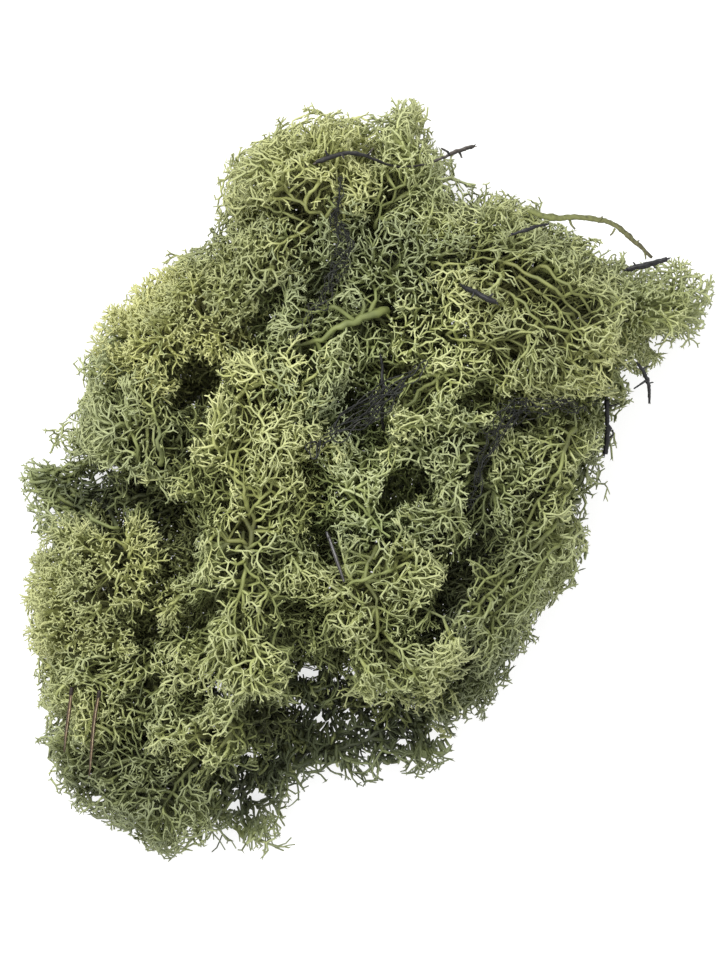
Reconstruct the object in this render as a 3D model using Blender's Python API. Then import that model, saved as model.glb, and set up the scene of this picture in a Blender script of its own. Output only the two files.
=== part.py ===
"""Moss clump: a tangled cushion of reindeer lichen with twigs, needles and dead strands caught in it.

The clump lies flat on its cut side, best face up. Every tuft is one soft envelope solid, standing
wall to wall with its neighbours, and the litter lies draped on top of the tufts.
Units are metres, +Z is up, +Y runs towards the crown tuft.
"""

import math

import bmesh
import bpy
from mathutils import Matrix, Vector, noise

MM = 0.001
GAP = 0.3 * MM  # clear space between two pieces
TUFT_DETAIL = 3  # subdivisions of each tuft's icosphere
LUMP_BROAD = 0.07  # broad lumps, as a share of the tuft's size
LUMP_FINE = 0.035  # small lumps, as a share of the tuft's size
BODY_SHARE = 0.62  # share of a standing tuft's height that lies above its widest level
FULLNESS = 2.7  # 2 is a round profile; higher is a fuller shoulder
TUBE_RESOLUTION = 2  # bevel resolution of twigs and needles
DRAPE_STEP = 3.6 * MM
FLAT_ANGLE = 11.0  # neighbouring facets closer than this (degrees) become one
MERGE = 0.00002

COLLECTION = "moss_clump"
CUTTERS = "moss_clump_cutters"

# name: centre x, centre y, half length, half width, turn in degrees, top height, underside height
# (all lengths in mm; an underside of 0 stands on the floor, a higher one hangs off its neighbours)
TUFTS = {
    "tuft_crown_left": (-17, 83, 22, 19, 0, 52, 0),
    "tuft_crown_tip": (12, 97, 8, 10, 0, 34, 14),
    "tuft_crown_right": (13, 79, 15, 18, 0, 46, 0),
    "tuft_shoulder": (-36, 60, 24, 12, 25, 54, 0),
    "tuft_cushion_upper": (-50, 42, 21, 19, 10, 50, 0),
    "tuft_left_tag": (-73, 33, 10, 10, 0, 32, 0),
    "tuft_neck": (2, 60, 25, 15, 0, 50, 0),
    "tuft_centre_top": (-10, 41, 25, 16, 0, 50, 0),
    "tuft_left_mid": (-63, 9, 20, 24, 0, 42, 0),
    "tuft_left_wing": (-80, -5, 17, 13, 0, 26, 0),
    "tuft_cushion_low": (-68, -32, 26, 19, 5, 42, 0),
    "tuft_lower_left": (-66, -60, 23, 17, 0, 37, 0),
    "tuft_foot_left": (-61, -85, 26, 15, -32, 32, 0),
    "tuft_foot_sprig": (-31, -91, 12, 14, 0, 24, 0),
    "tuft_column_upper": (-31, 5, 23, 27, 0, 62, 0),
    "tuft_column_lower": (-29, -37, 23, 25, 0, 58, 0),
    "tuft_hollow": (-2, 19, 17, 14, 0, 42, 0),
    "tuft_centre": (1, -7, 19, 18, 0, 50, 0),
    "tuft_tongue": (7, -40, 19, 24, 10, 60, 0),
    "tuft_bottom_mid": (-34, -70, 21, 17, 0, 44, 0),
    "tuft_bottom_net": (3, -69, 25, 14, 5, 26, 0),
    "tuft_arm_top": (45, 64, 26, 14, -24, 50, 0),
    "tuft_arm_mid": (46, 45, 32, 18, -10, 58, 0),
    "tuft_arm_tip": (82, 47, 17, 13, 0, 40, 8),
    "tuft_arm_fringe": (71, 34, 13, 11, 0, 38, 10),
    "tuft_centre_right": (22, 27, 24, 16, 0, 54, 0),
    "tuft_right_mid": (28, 1, 20, 18, 0, 50, 0),
    "tuft_right_lower": (52, 4, 14, 27, 0, 46, 0),
    "tuft_right_low": (40, -26, 24, 20, 30, 48, 0),
    "tuft_right_foot": (32, -53, 22, 14, 38, 36, 0),
}

# name: material, then (x, y, z or None, radius) in mm; None lays that point on the tufts below it
DRAPE = None
LITTER = {
    "twig_crown": (
        "bark",
        [
            (-12, 87.5, DRAPE, 0.95),
            (-8, 89.3, DRAPE, 0.85),
            (-4, 90.4, DRAPE, 0.7),
            (1, 90.0, DRAPE, 0.55),
            (6, 88.6, DRAPE, 0.5),
            (13, 88.0, DRAPE, 0.5),
            (20, 88.8, DRAPE, 0.6),
            (25, 90.2, DRAPE, 0.7),
            (31.5, 93.0, 35.5, 0.75),
        ],
    ),
    "stem_arm": (
        "stem",
        [
            (50, 73.2, DRAPE, 0.95),
            (55, 71.6, DRAPE, 0.95),
            (60, 72.0, 43.0, 0.9),
            (66, 71.2, 43.5, 0.85),
            (72, 69.0, 43.5, 0.8),
            (76.5, 64.6, 43.5, 0.7),
            (81, 61.6, 43.0, 0.55),
        ],
    ),
    "twig_arm": (
        "bark",
        [
            (75, 58.6, DRAPE, 0.45),
            (79, 59.8, DRAPE, 0.7),
            (82, 60.4, DRAPE, 0.7),
            (85.5, 61.4, 38.5, 0.6),
        ],
    ),
    "twig_hanging": (
        "bark",
        [
            (69.6, 22.6, 21.0, 0.6),
            (70.2, 17, 20.0, 0.65),
            (70.4, 12, 19.0, 0.75),
            (69.4, 7, 18.0, 0.8),
        ],
    ),
    "twig_fringe": (
        "bark",
        [
            (77.5, 32, DRAPE, 0.4),
            (79.5, 29, DRAPE, 0.5),
            (80.6, 25.5, 33.5, 0.5),
            (81, 22, 32.5, 0.3),
        ],
    ),
    "twig_arm_mid": (
        "bark",
        [
            (28, 53.2, DRAPE, 0.5),
            (33, 50.2, DRAPE, 0.7),
            (37, 48.4, DRAPE, 0.65),
        ],
    ),
    "twig_arm_top": (
        "bark",
        [
            (42, 67.6, DRAPE, 0.35),
            (46, 69.0, DRAPE, 0.4),
            (51.5, 70.4, DRAPE, 0.35),
        ],
    ),
    "twig_centre": (
        "bark",
        [
            (5.7, 34, DRAPE, 0.35),
            (6.2, 28, DRAPE, 0.4),
            (6.0, 21, DRAPE, 0.4),
            (6.3, 14, DRAPE, 0.35),
        ],
    ),
    "needle_left": (
        "needle",
        [
            (-80, -58.6, DRAPE, 0.4),
            (-81, -65, DRAPE, 0.6),
            (-82.2, -72, DRAPE, 0.55),
            (-83.2, -77.4, DRAPE, 0.3),
        ],
    ),
    "needle_right": (
        "needle",
        [
            (-72.6, -59.2, DRAPE, 0.4),
            (-74, -67, DRAPE, 0.6),
            (-75, -77, DRAPE, 0.55),
            (-76, -86.4, DRAPE, 0.3),
        ],
    ),
    "needle_dark": (
        "needle",
        [
            (-8.4, -16.6, DRAPE, 0.4),
            (-7, -21.5, DRAPE, 0.55),
            (-5.0, -27.4, DRAPE, 0.35),
        ],
    ),
    "strand_crown": (
        "dead_strand",
        [
            (-5.2, 83, DRAPE, 0.7),
            (-6, 73, DRAPE, 1.0),
            (-4.6, 63, DRAPE, 1.6),
            (-9.5, 51, DRAPE, 1.2),
            (-15, 43, DRAPE, 0.9),
            (-19.5, 38.5, DRAPE, 0.6),
        ],
    ),
    "strand_hollow": (
        "dead_strand",
        [
            (-11, 10, DRAPE, 1.2),
            (-6, 14, DRAPE, 2.2),
            (2, 19, DRAPE, 2.6),
            (9.5, 25, DRAPE, 2.0),
            (15.5, 30, DRAPE, 1.0),
        ],
    ),
    "strand_right": (
        "dead_strand",
        [
            (30, -11, DRAPE, 0.7),
            (33, 0, DRAPE, 1.1),
            (38.5, 8, DRAPE, 1.4),
            (44, 13.5, DRAPE, 2.0),
            (52, 16.5, DRAPE, 2.0),
            (60, 18, DRAPE, 1.2),
            (66, 21, DRAPE, 0.7),
        ],
    ),
}

# short side branch joined to a twig: owner, then its own points in mm, starting inside the owner
BRANCHES = {
    "twig_hanging": [(70.35, 14, 19.4, 0.4), (71.8, 13.4, 19.2, 0.4), (71.4, 11.2, 19.0, 0.3)],
    "twig_fringe": [(79.4, 29.1, None, 0.3), (82.0, 31.0, None, 0.25)],
}

# base colour (linear), roughness
LOOKS = {
    "moss": ((0.27, 0.33, 0.13, 1.0), 0.75),
    "bark": ((0.030, 0.024, 0.022, 1.0), 0.65),
    "stem": ((0.17, 0.18, 0.08, 1.0), 0.65),
    "needle": ((0.11, 0.055, 0.025, 1.0), 0.45),
    "dead_strand": ((0.018, 0.019, 0.022, 1.0), 0.70),
}


def clear_scene():
    for ob in list(bpy.data.objects):
        bpy.data.objects.remove(ob, do_unlink=True)
    for block in (bpy.data.meshes, bpy.data.curves, bpy.data.materials, bpy.data.collections):
        for item in list(block):
            block.remove(item)


def make_collection(name):
    coll = bpy.data.collections.new(name)
    bpy.context.scene.collection.children.link(coll)
    return coll


def make_material(name, look):
    colour, rough = LOOKS[look]
    mat = bpy.data.materials.new(name)
    mat.use_nodes = True
    mat.diffuse_color = colour
    shader = mat.node_tree.nodes["Principled BSDF"]
    shader.inputs["Base Color"].default_value = colour
    shader.inputs["Roughness"].default_value = rough
    return mat


def reach(spec, direction):
    """How far a tuft's plan ellipse reaches from its centre in a level direction, in metres."""
    _x, _y, a, b, turn, _top, _under = spec
    angle = math.atan2(direction.y, direction.x) - math.radians(turn)
    return MM / math.sqrt((math.cos(angle) / a) ** 2 + (math.sin(angle) / b) ** 2)


def cut(bm, point, normal):
    """Remove what lies beyond a plane and close the body there."""
    geom = bm.verts[:] + bm.edges[:] + bm.faces[:]
    out = bmesh.ops.bisect_plane(
        bm, geom=geom, dist=1e-7, plane_co=point, plane_no=normal, clear_outer=True
    )
    rim = [e for e in out["geom_cut"] if isinstance(e, bmesh.types.BMEdge)]
    if rim:
        bmesh.ops.edgeloop_fill(bm, edges=rim)


def tuft_mesh(index, name, specs):
    """One lumpy cushion, cut flat where it stands on the floor and where it meets its neighbours."""
    x, y, a, b, turn, top, under = specs[name]
    if under > 0:
        half = (top - under) / 2
        level = (top + under) / 2
    else:
        half = top * BODY_SHARE
        level = top - half
    bm = bmesh.new()
    bmesh.ops.create_icosphere(bm, subdivisions=TUFT_DETAIL, radius=1.0)
    seed = Vector((index * 7.31, index * 3.17, index * 5.53))
    for v in bm.verts:
        n = v.co.normalized()
        lump = LUMP_BROAD * noise.noise(n * 1.6 + seed) + LUMP_FINE * noise.noise(n * 3.7 - seed)
        full = (math.hypot(n.x, n.y) ** FULLNESS + abs(n.z) ** FULLNESS) ** (-1.0 / FULLNESS)
        v.co = n * (full * (1.0 + lump))
        v.co.z = min(v.co.z, 1.0)
    bmesh.ops.scale(bm, vec=Vector((a * MM, b * MM, half * MM)), verts=bm.verts)
    bmesh.ops.rotate(
        bm, cent=Vector(), matrix=Matrix.Rotation(math.radians(turn), 3, "Z"), verts=bm.verts
    )
    centre = Vector((x * MM, y * MM, level * MM))
    bmesh.ops.translate(bm, vec=centre, verts=bm.verts)

    for other, spec in specs.items():
        if other == name:
            continue
        there = Vector((spec[0] * MM, spec[1] * MM, 0.0))
        here = Vector((x * MM, y * MM, 0.0))
        line = there - here
        dist = line.length
        if dist > 1.25 * MM * (max(a, b) + max(spec[2], spec[3])):
            continue
        line.normalize()
        mine = reach(specs[name], line)
        theirs = reach(spec, -line)
        at = here + line * (dist * mine / (mine + theirs) - GAP / 2)
        cut(bm, at, line)
    if under <= 0:
        cut(bm, Vector((0, 0, 0)), Vector((0, 0, -1)))
    bmesh.ops.remove_doubles(bm, verts=bm.verts, dist=MERGE)
    bmesh.ops.dissolve_degenerate(bm, edges=bm.edges, dist=MERGE)
    bmesh.ops.dissolve_limit(
        bm, angle_limit=math.radians(FLAT_ANGLE), verts=bm.verts, edges=bm.edges
    )
    bmesh.ops.triangulate(bm, faces=bm.faces)
    bmesh.ops.recalc_face_normals(bm, faces=bm.faces)
    me = bpy.data.meshes.new(name)
    bm.to_mesh(me)
    bm.free()
    return me


class Ground:
    """The tops of the tufts, to lay litter on."""

    def __init__(self, objects):
        from mathutils.bvhtree import BVHTree

        verts, polys = [], []
        for ob in objects:
            base = len(verts)
            verts.extend(v.co.copy() for v in ob.data.vertices)
            polys.extend([base + i for i in p.vertices] for p in ob.data.polygons)
        self.tree = BVHTree.FromPolygons(verts, polys)

    def height(self, x, y, radius):
        """Highest surface under a disc, in metres, or None off the edge."""
        best = None
        spots = [(0.0, 0.0)] + [
            (radius * f * math.cos(k * math.pi / 4), radius * f * math.sin(k * math.pi / 4))
            for f in (0.5, 1.0)
            for k in range(8)
        ]
        for dx, dy in spots:
            hit = self.tree.ray_cast(Vector((x + dx, y + dy, 0.2)), Vector((0, 0, -1)))[0]
            if hit is not None and (best is None or hit.z > best):
                best = hit.z
        return best


def lay_path(points, ground):
    """Fine path through the points, lying just clear of the tufts wherever a height is left open."""
    fine = []
    for (x0, y0, z0, r0), (x1, y1, z1, r1) in zip(points, points[1:]):
        steps = max(1, int(round(math.hypot(x1 - x0, y1 - y0) * MM / DRAPE_STEP)))
        for k in range(steps):
            t = k / steps
            fine.append(
                [
                    (x0 + (x1 - x0) * t) * MM,
                    (y0 + (y1 - y0) * t) * MM,
                    (z0, z1, t),
                    (r0 + (r1 - r0) * t) * MM,
                ]
            )
    x, y, z, r = points[-1]
    fine.append([x * MM, y * MM, (z, z, 0.0), r * MM])
    heights = []
    for px, py, (za, zb, t), pr in fine:
        if za is not None and zb is not None:
            heights.append((za + (zb - za) * t) * MM)
            continue
        h = ground.height(px, py, pr + 1.5 * MM)
        heights.append(None if h is None else h + pr + 1.6 * GAP)
    known = [h for h in heights if h is not None]
    last = known[0]
    for i, h in enumerate(heights):
        if h is None:
            heights[i] = last
        else:
            last = h
    # a stiff thing bridges the dips: raise each point to the mean of its neighbours where lower
    for _round in range(12):
        for i in range(1, len(heights) - 1):
            mean = (heights[i - 1] + heights[i + 1]) / 2
            if mean > heights[i]:
                heights[i] = mean
    return [(Vector((f[0], f[1], h)), f[3]) for f, h in zip(fine, heights)]


def tube_object(name, path, coll):
    """A round tube of changing radius along a path, capped at both ends."""
    curve = bpy.data.curves.new(name + "_path", "CURVE")
    curve.dimensions = "3D"
    curve.fill_mode = "FULL"
    curve.bevel_depth = 1.0
    curve.bevel_resolution = TUBE_RESOLUTION
    curve.use_fill_caps = True
    spline = curve.splines.new("POLY")
    spline.points.add(len(path) - 1)
    for p, (co, r) in zip(spline.points, path):
        p.co = (co.x, co.y, co.z, 1.0)
        p.radius = r
    ob = bpy.data.objects.new(name + "_path", curve)
    coll.objects.link(ob)
    bpy.context.view_layer.update()
    graph = bpy.context.evaluated_depsgraph_get()
    me = bpy.data.meshes.new_from_object(ob.evaluated_get(graph))
    me.name = name
    me.transform(ob.matrix_world)
    bpy.data.objects.remove(ob, do_unlink=True)
    bm = bmesh.new()
    bm.from_mesh(me)
    bmesh.ops.remove_doubles(bm, verts=bm.verts, dist=MERGE)
    bmesh.ops.recalc_face_normals(bm, faces=bm.faces)
    bm.to_mesh(me)
    bm.free()
    made = bpy.data.objects.new(name, me)
    coll.objects.link(made)
    return made


def join_solid(ob, tool):
    mod = ob.modifiers.new("branch", "BOOLEAN")
    mod.operation = "UNION"
    mod.solver = "EXACT"
    mod.object = tool
    bpy.context.view_layer.update()
    graph = bpy.context.evaluated_depsgraph_get()
    me = bpy.data.meshes.new_from_object(ob.evaluated_get(graph))
    ob.modifiers.clear()
    ob.data = me


def main():
    clear_scene()
    parts = make_collection(COLLECTION)
    cutters = make_collection(CUTTERS)
    cutters.hide_render = True

    tufts = []
    for index, name in enumerate(TUFTS):
        ob = bpy.data.objects.new(name, tuft_mesh(index, name, TUFTS))
        parts.objects.link(ob)
        ob.data.materials.append(make_material("mat_" + name, "moss"))
        tufts.append(ob)

    ground = Ground(tufts)
    pieces = list(tufts)
    for name, (look, points) in LITTER.items():
        path = lay_path(points, ground)
        ob = tube_object(name, path, parts)
        if name in BRANCHES:
            near = [
                (x, y, z, r)
                if z is not None
                else (x, y, min(path, key=lambda q: (q[0].xy - Vector((x, y)) * MM).length)[0].z / MM, r)
                for x, y, z, r in BRANCHES[name]
            ]
            side = tube_object(
                name + "_side", [(Vector((x, y, z)) * MM, r * MM) for x, y, z, r in near], cutters
            )
            side.display_type = "WIRE"
            side.hide_render = True
            join_solid(ob, side)
        ob.data.materials.clear()
        ob.data.materials.append(make_material("mat_" + name, look))
        pieces.append(ob)

    lows = [min(v.co[k] for ob in pieces for v in ob.data.vertices) for k in range(3)]
    highs = [max(v.co[k] for ob in pieces for v in ob.data.vertices) for k in range(3)]
    shift = Vector((-(lows[0] + highs[0]) / 2, -(lows[1] + highs[1]) / 2, -lows[2]))
    for ob in pieces:
        ob.data.transform(Matrix.Translation(shift))
        for poly in ob.data.polygons:
            poly.use_smooth = True
        if not ob.name.startswith("tuft"):
            continue
        # the cut faces stay crisp against the rounded ones
        ob.data.set_sharp_from_angle(angle=math.radians(50))
    print("shift mm", [round(s / MM, 3) for s in shift])
    print("size mm", [round((h - l) / MM, 2) for l, h in zip(lows, highs)])


main()
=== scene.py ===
"""Looks of the moss clump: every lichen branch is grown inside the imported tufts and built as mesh.

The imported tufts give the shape. Their solids are read into a grid, a frame of main stems is led
from each tuft's foot to its surface, and the stems then fork again and again, each fork looking for
free room, until the tips stand at the surface. Lengths below are millimetres until a mesh is made.
"""

import math
import time

import bpy
import numpy as np
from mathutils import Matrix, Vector
from mathutils.kdtree import KDTree


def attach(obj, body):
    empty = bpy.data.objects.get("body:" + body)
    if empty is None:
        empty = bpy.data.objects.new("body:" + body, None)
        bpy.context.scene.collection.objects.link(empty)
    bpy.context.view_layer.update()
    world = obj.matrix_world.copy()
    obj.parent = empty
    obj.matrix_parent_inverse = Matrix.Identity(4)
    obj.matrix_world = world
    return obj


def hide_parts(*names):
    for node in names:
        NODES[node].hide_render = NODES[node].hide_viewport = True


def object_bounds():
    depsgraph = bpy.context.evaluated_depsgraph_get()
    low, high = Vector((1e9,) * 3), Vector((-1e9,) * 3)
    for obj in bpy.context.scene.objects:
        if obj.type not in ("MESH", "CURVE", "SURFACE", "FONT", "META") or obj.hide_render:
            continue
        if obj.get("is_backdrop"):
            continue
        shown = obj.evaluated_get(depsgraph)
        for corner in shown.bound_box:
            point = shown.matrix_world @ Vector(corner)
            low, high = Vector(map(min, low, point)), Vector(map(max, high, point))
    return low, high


T0 = time.time()
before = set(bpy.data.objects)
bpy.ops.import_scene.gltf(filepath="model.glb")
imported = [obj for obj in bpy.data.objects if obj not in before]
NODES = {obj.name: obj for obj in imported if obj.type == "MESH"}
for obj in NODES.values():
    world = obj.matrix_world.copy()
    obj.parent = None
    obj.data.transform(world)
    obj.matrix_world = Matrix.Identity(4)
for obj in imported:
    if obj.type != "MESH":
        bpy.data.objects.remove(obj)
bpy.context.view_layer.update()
rng = np.random.default_rng(20)

# the layout below was drawn about the clump's middle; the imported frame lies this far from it
SHIFT = np.array([-0.924, -0.762, 0.0])

# foot of each tuft (x, y, z), scale of its forking, share of bare room, brightness, yellowness; the brightness is the
# tuft's own lightness together with painted light and shade, low for the shaded tufts at the rim and in the nets
#   forking scale: under 1 is a finer, denser cushion; over 1 is coarser and more open
TUFTS = {
    "tuft_crown_left": ((-5, 67, 12), 1.05, 0.05, 1.40, 0.30),
    "tuft_crown_tip": ((12, 88, 22), 0.95, 0.05, 1.08, 0.20),
    "tuft_crown_right": ((8, 66, 10), 1.05, 0.10, 1.37, 0.00),
    "tuft_shoulder": ((-26, 52, 14), 1.00, 0.08, 1.04, 0.35),
    "tuft_cushion_upper": ((-38, 33, 6), 0.78, 0.00, 1.44, 0.45),
    "tuft_left_tag": ((-63, 34, 12), 1.30, 0.25, 0.70, 0.00),
    "tuft_neck": ((2, 52, 10), 1.15, 0.15, 0.84, -0.10),
    "tuft_centre_top": ((6, 44, 12), 1.15, 0.15, 1.10, -0.15),
    "tuft_left_mid": ((-52, 4, 8), 1.10, 0.18, 1.00, 0.05),
    "tuft_left_wing": ((-64, -10, 8), 1.25, 0.35, 0.86, -0.05),
    "tuft_cushion_low": ((-52, -42, 4), 0.76, 0.00, 1.34, 0.30),
    "tuft_lower_left": ((-58, -50, 8), 1.05, 0.12, 1.10, 0.10),
    "tuft_foot_left": ((-50, -74, 6), 1.10, 0.15, 0.50, 0.05),
    "tuft_foot_sprig": ((-32, -80, 10), 1.35, 0.50, 0.36, -0.10),
    "tuft_column_upper": ((-30, -18, 14), 1.20, 0.08, 1.72, 0.12),
    "tuft_column_lower": ((-29, -18, 20), 1.22, 0.12, 1.40, 0.05),
    "tuft_hollow": ((-1, 18, 4), 1.20, 0.35, 1.20, -0.40),
    "tuft_centre": ((4, -14, 8), 1.05, 0.22, 1.46, -0.35),
    "tuft_tongue": ((1, -20, 16), 1.20, 0.10, 1.34, 0.10),
    "tuft_bottom_mid": ((-28, -56, 10), 1.15, 0.22, 1.32, 0.05),
    "tuft_bottom_net": ((-16, -78, 8), 1.40, 0.50, 0.34, -0.10),
    "tuft_arm_top": ((30, 66, 10), 1.05, 0.10, 0.94, 0.20),
    "tuft_arm_mid": ((28, 46, 14), 1.22, 0.15, 1.12, 0.30),
    "tuft_arm_tip": ((68, 48, 22), 0.90, 0.05, 1.02, 0.05),
    "tuft_arm_fringe": ((64, 38, 22), 1.10, 0.20, 0.80, 0.00),
    "tuft_centre_right": ((16, 30, 12), 1.12, 0.18, 1.52, -0.05),
    "tuft_right_mid": ((28, 8, 12), 1.20, 0.25, 0.90, -0.05),
    "tuft_right_lower": ((52, 12, 10), 1.10, 0.18, 0.94, 0.10),
    "tuft_right_low": ((54, -8, 14), 1.10, 0.22, 0.70, 0.10),
    "tuft_right_foot": ((42, -42, 10), 1.10, 0.28, 0.30, 0.00),
}
NAMES = list(TUFTS)

# long stems that lie in plain sight: tuft, points (x, y, depth below the top), radius at each end
STEMS = [
    ("tuft_centre_top", [(7, 47, 2.5), (2, 45, 1.2), (-4, 43, 1.2), (-10, 39.5, 2.0), (-17, 37, 4.0)], 1.25, 0.65),
    ("tuft_centre_top", [(-2, 44, 1.5), (-7, 47.5, 1.6), (-13, 46.5, 2.4), (-18, 47.5, 4.0)], 0.76, 0.44),
    ("tuft_centre_top", [(2, 45, 1.5), (4, 50, 2.2), (3, 54, 4.0)], 0.68, 0.48),
    ("tuft_column_upper", [(-31, -19, 5.5), (-29.6, -12, 3.6), (-32.6, -4, 3.0), (-34.5, 3, 3.4), (-33, 10, 4.6)], 0.84, 0.5),
    ("tuft_column_upper", [(-31, -10, 3.2), (-26, -3, 2.6), (-22, 4, 3.0)], 0.64, 0.44),
    ("tuft_column_lower", [(-32.6, -15, 4.6), (-31.6, -25, 3.2), (-34, -33, 3.2), (-36, -42, 4.5)], 0.80, 0.46),
    ("tuft_column_lower", [(-32, -24, 2.6), (-26, -31, 2.4), (-22, -40, 3.4)], 0.64, 0.42),
    ("tuft_tongue", [(4.5, -19, 4.8), (1.4, -26, 3.0), (3.8, -33, 3.8), (5, -41, 3.0), (7.5, -50, 4.2)], 0.84, 0.46),
    ("tuft_tongue", [(9.6, -25, 3.0), (3.5, -27, 2.2), (-2, -29, 2.4), (-7, -33, 4.2)], 0.66, 0.42),
    ("tuft_arm_mid", [(40, 60, 4.0), (47, 57, 1.8), (54, 52, 1.4), (60, 46, 2.0), (66, 39, 4.0)], 0.68, 0.48),
    ("tuft_arm_mid", [(44, 56, 4.0), (50, 51, 1.7), (57, 45, 1.6), (63, 38, 3.5)], 0.6, 0.44),
    ("tuft_arm_mid", [(50, 59, 3.0), (57, 54, 1.6), (64, 47, 1.8), (70, 41, 3.6)], 0.64, 0.44),
    ("tuft_arm_mid", [(36, 54, 4.0), (43, 50, 1.8), (49, 44, 1.7), (54, 37, 3.0)], 0.56, 0.42),
    ("tuft_arm_mid", [(20, 60, 4.0), (27, 59.5, 2.0), (34, 61, 2.4), (40, 60, 4.0)], 0.64, 0.48),
    ("tuft_arm_mid", [(52, 42, 3.0), (60, 41, 1.6), (67, 44, 1.8), (73, 48, 3.0)], 0.56, 0.42),
    ("tuft_arm_mid", [(24, 40, 3.0), (33, 38, 1.8), (42, 38, 1.8), (50, 35, 3.0)], 0.56, 0.42),
    ("tuft_right_low", [(62, -6, 4.0), (55, -13, 1.8), (47, -20, 1.6), (40, -28, 1.8), (33, -35, 3.4)], 0.84, 0.56),
    ("tuft_right_low", [(60, -14, 3.5), (52, -22, 1.7), (44, -31, 1.8), (37, -38, 3.6)], 0.76, 0.48),
    ("tuft_right_lower", [(60, 14, 4.0), (56, 5, 2.0), (51, -4, 1.8), (46, -13, 3.2)], 0.76, 0.48),
    ("tuft_right_lower", [(62, 2, 3.4), (57, -6, 2.0), (52, -14, 3.0)], 0.64, 0.44),
    ("tuft_right_mid", [(36, 12, 4.0), (33, 4, 2.2), (27, -4, 2.4), (24, -11, 4.0)], 0.6, 0.42),
    ("tuft_bottom_net", [(-19, -82, 2.5), (-11, -79, 1.6), (-3, -76, 1.6), (5, -72, 2.4), (11, -70, 4.0)], 0.92, 0.52),
    ("tuft_foot_left", [(-36, -82, 3.0), (-34, -89, 2.0), (-32.5, -96, 2.0), (-31, -102, 2.4)], 0.56, 0.42),
    ("tuft_foot_left", [(-34, -86, 2.6), (-27.6, -90, 2.0), (-23.6, -95, 2.0)], 0.48, 0.42),
    ("tuft_left_mid", [(-63, -2, 4.0), (-62, 6, 2.4), (-64, 13, 2.2), (-67, 20, 3.5)], 0.68, 0.44),
    ("tuft_left_mid", [(-56, 4, 4.0), (-55, 12, 2.4), (-58, 19, 3.2)], 0.64, 0.42),
    ("tuft_left_wing", [(-68, -14, 3.0), (-75, -11, 1.6), (-82, -7, 1.8), (-89, -2, 3.0)], 0.68, 0.42),
    ("tuft_foot_left", [(-46, -80, 3.5), (-52, -86, 2.0), (-56, -93, 2.2), (-58, -99, 3.0)], 0.68, 0.42),
    ("tuft_crown_left", [(-10, 72, 5.0), (-18, 77, 2.4), (-25, 84, 2.4), (-30, 89, 3.8)], 0.64, 0.42),
    ("tuft_crown_left", [(-14, 70, 4.5), (-22, 74, 2.4), (-30, 77, 3.2)], 0.6, 0.42),
    ("tuft_crown_right", [(4, 70, 4.0), (8, 78, 2.2), (14, 84, 2.4), (18, 90, 4.0)], 0.6, 0.42),
    ("tuft_centre_right", [(12, 20, 4.0), (18, 26, 2.2), (26, 29, 2.2), (34, 27, 3.8)], 0.64, 0.42),
    ("tuft_centre", [(8, -16, 4.0), (2, -10, 2.4), (-3, -4, 2.6), (-5, 3, 4.0)], 0.56, 0.42),
]

# where the clump ends, seen from above, walked clockwise from the crown
OUTLINE = [
    (-37.6, 79), (-37.6, 85), (-34.4, 88.4), (-31.5, 91.4), (-27.5, 94.8), (-21, 97.4), (-15.5, 99.6), (-12.5, 101.5),
    (-9.5, 102.5), (-5.3, 101.5), (-1, 98.5), (2.4, 93.6), (5, 98), (6, 102.6), (8.6, 106), (12.8, 107), (16, 103.4), (16.6, 98.6), (16.4, 94.5), (19, 91.5), (22.6, 88), (23.4, 83), (26.8, 77.2), (31.5, 77.4),
    (35, 79.4), (39.2, 79), (42.6, 78.5), (46.8, 76), (49.6, 74), (51.6, 72), (55.5, 69.6), (59, 67.8),
    (62, 66), (65.4, 63), (70.4, 61), (76, 60), (80.5, 57.5), (86, 56), (90, 57.5), (93.5, 56),
    (95.5, 53), (96.8, 48.5), (96.8, 44.6), (94, 40.7), (89, 40), (83.5, 39.5), (80.5, 36.5), (76.5, 33),
    (76.5, 29.5), (77.5, 25.5), (72, 22.4), (70, 19.6), (70.5, 14), (70, 10), (66, 6.5), (64.4, 1.5),
    (65.4, -4), (62.5, -9), (60, -15), (60.5, -19), (60, -24), (57, -29), (53.6, -32.5), (50, -38),
    (49, -42), (47, -46), (45, -51.5), (41.5, -54), (39, -57.5), (38, -62.5), (34, -64.6), (30, -65),
    (26.5, -66), (24, -69), (27, -74.8), (24.5, -79), (19.5, -81.5), (14, -82), (8, -84), (1.5, -82.6),
    (-4, -85), (-10, -83.6), (-16, -83.5), (-20, -90), (-22.5, -96), (-25.5, -101.4), (-31, -105.8), (-36, -103.4),
    (-41, -99), (-45.5, -98.5), (-50, -101), (-54, -104), (-59, -104.5), (-64.5, -101), (-69, -96.5), (-74.5, -93),
    (-80, -90.8), (-84.4, -88), (-89, -84.5), (-92, -80), (-92, -75), (-84.6, -71.5), (-82.4, -67), (-90, -61.5),
    (-91.5, -55.5), (-90.8, -50.3), (-92, -46), (-92, -40.6), (-92.2, -35), (-92, -28), (-91, -24.4), (-87, -21),
    (-85.6, -19), (-86.4, -15.6), (-87.5, -11), (-90.5, -8.5), (-94.5, -6), (-96, -3), (-96.5, 1), (-97, 3.4),
    (-90.5, 5), (-84.5, 6), (-79.4, 6), (-81, 9), (-86, 12), (-79.4, 15.6), (-79, 19), (-80.4, 22),
    (-76.5, 27.5), (-76.5, 32.6), (-74.6, 35.6), (-72, 40), (-71, 44), (-68.5, 47), (-62.5, 48.6), (-59.4, 53),
    (-57.4, 57.6), (-51, 61.6), (-45.5, 63.5), (-39.5, 66), (-35.5, 70.5), (-36.6, 76),
]

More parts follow.
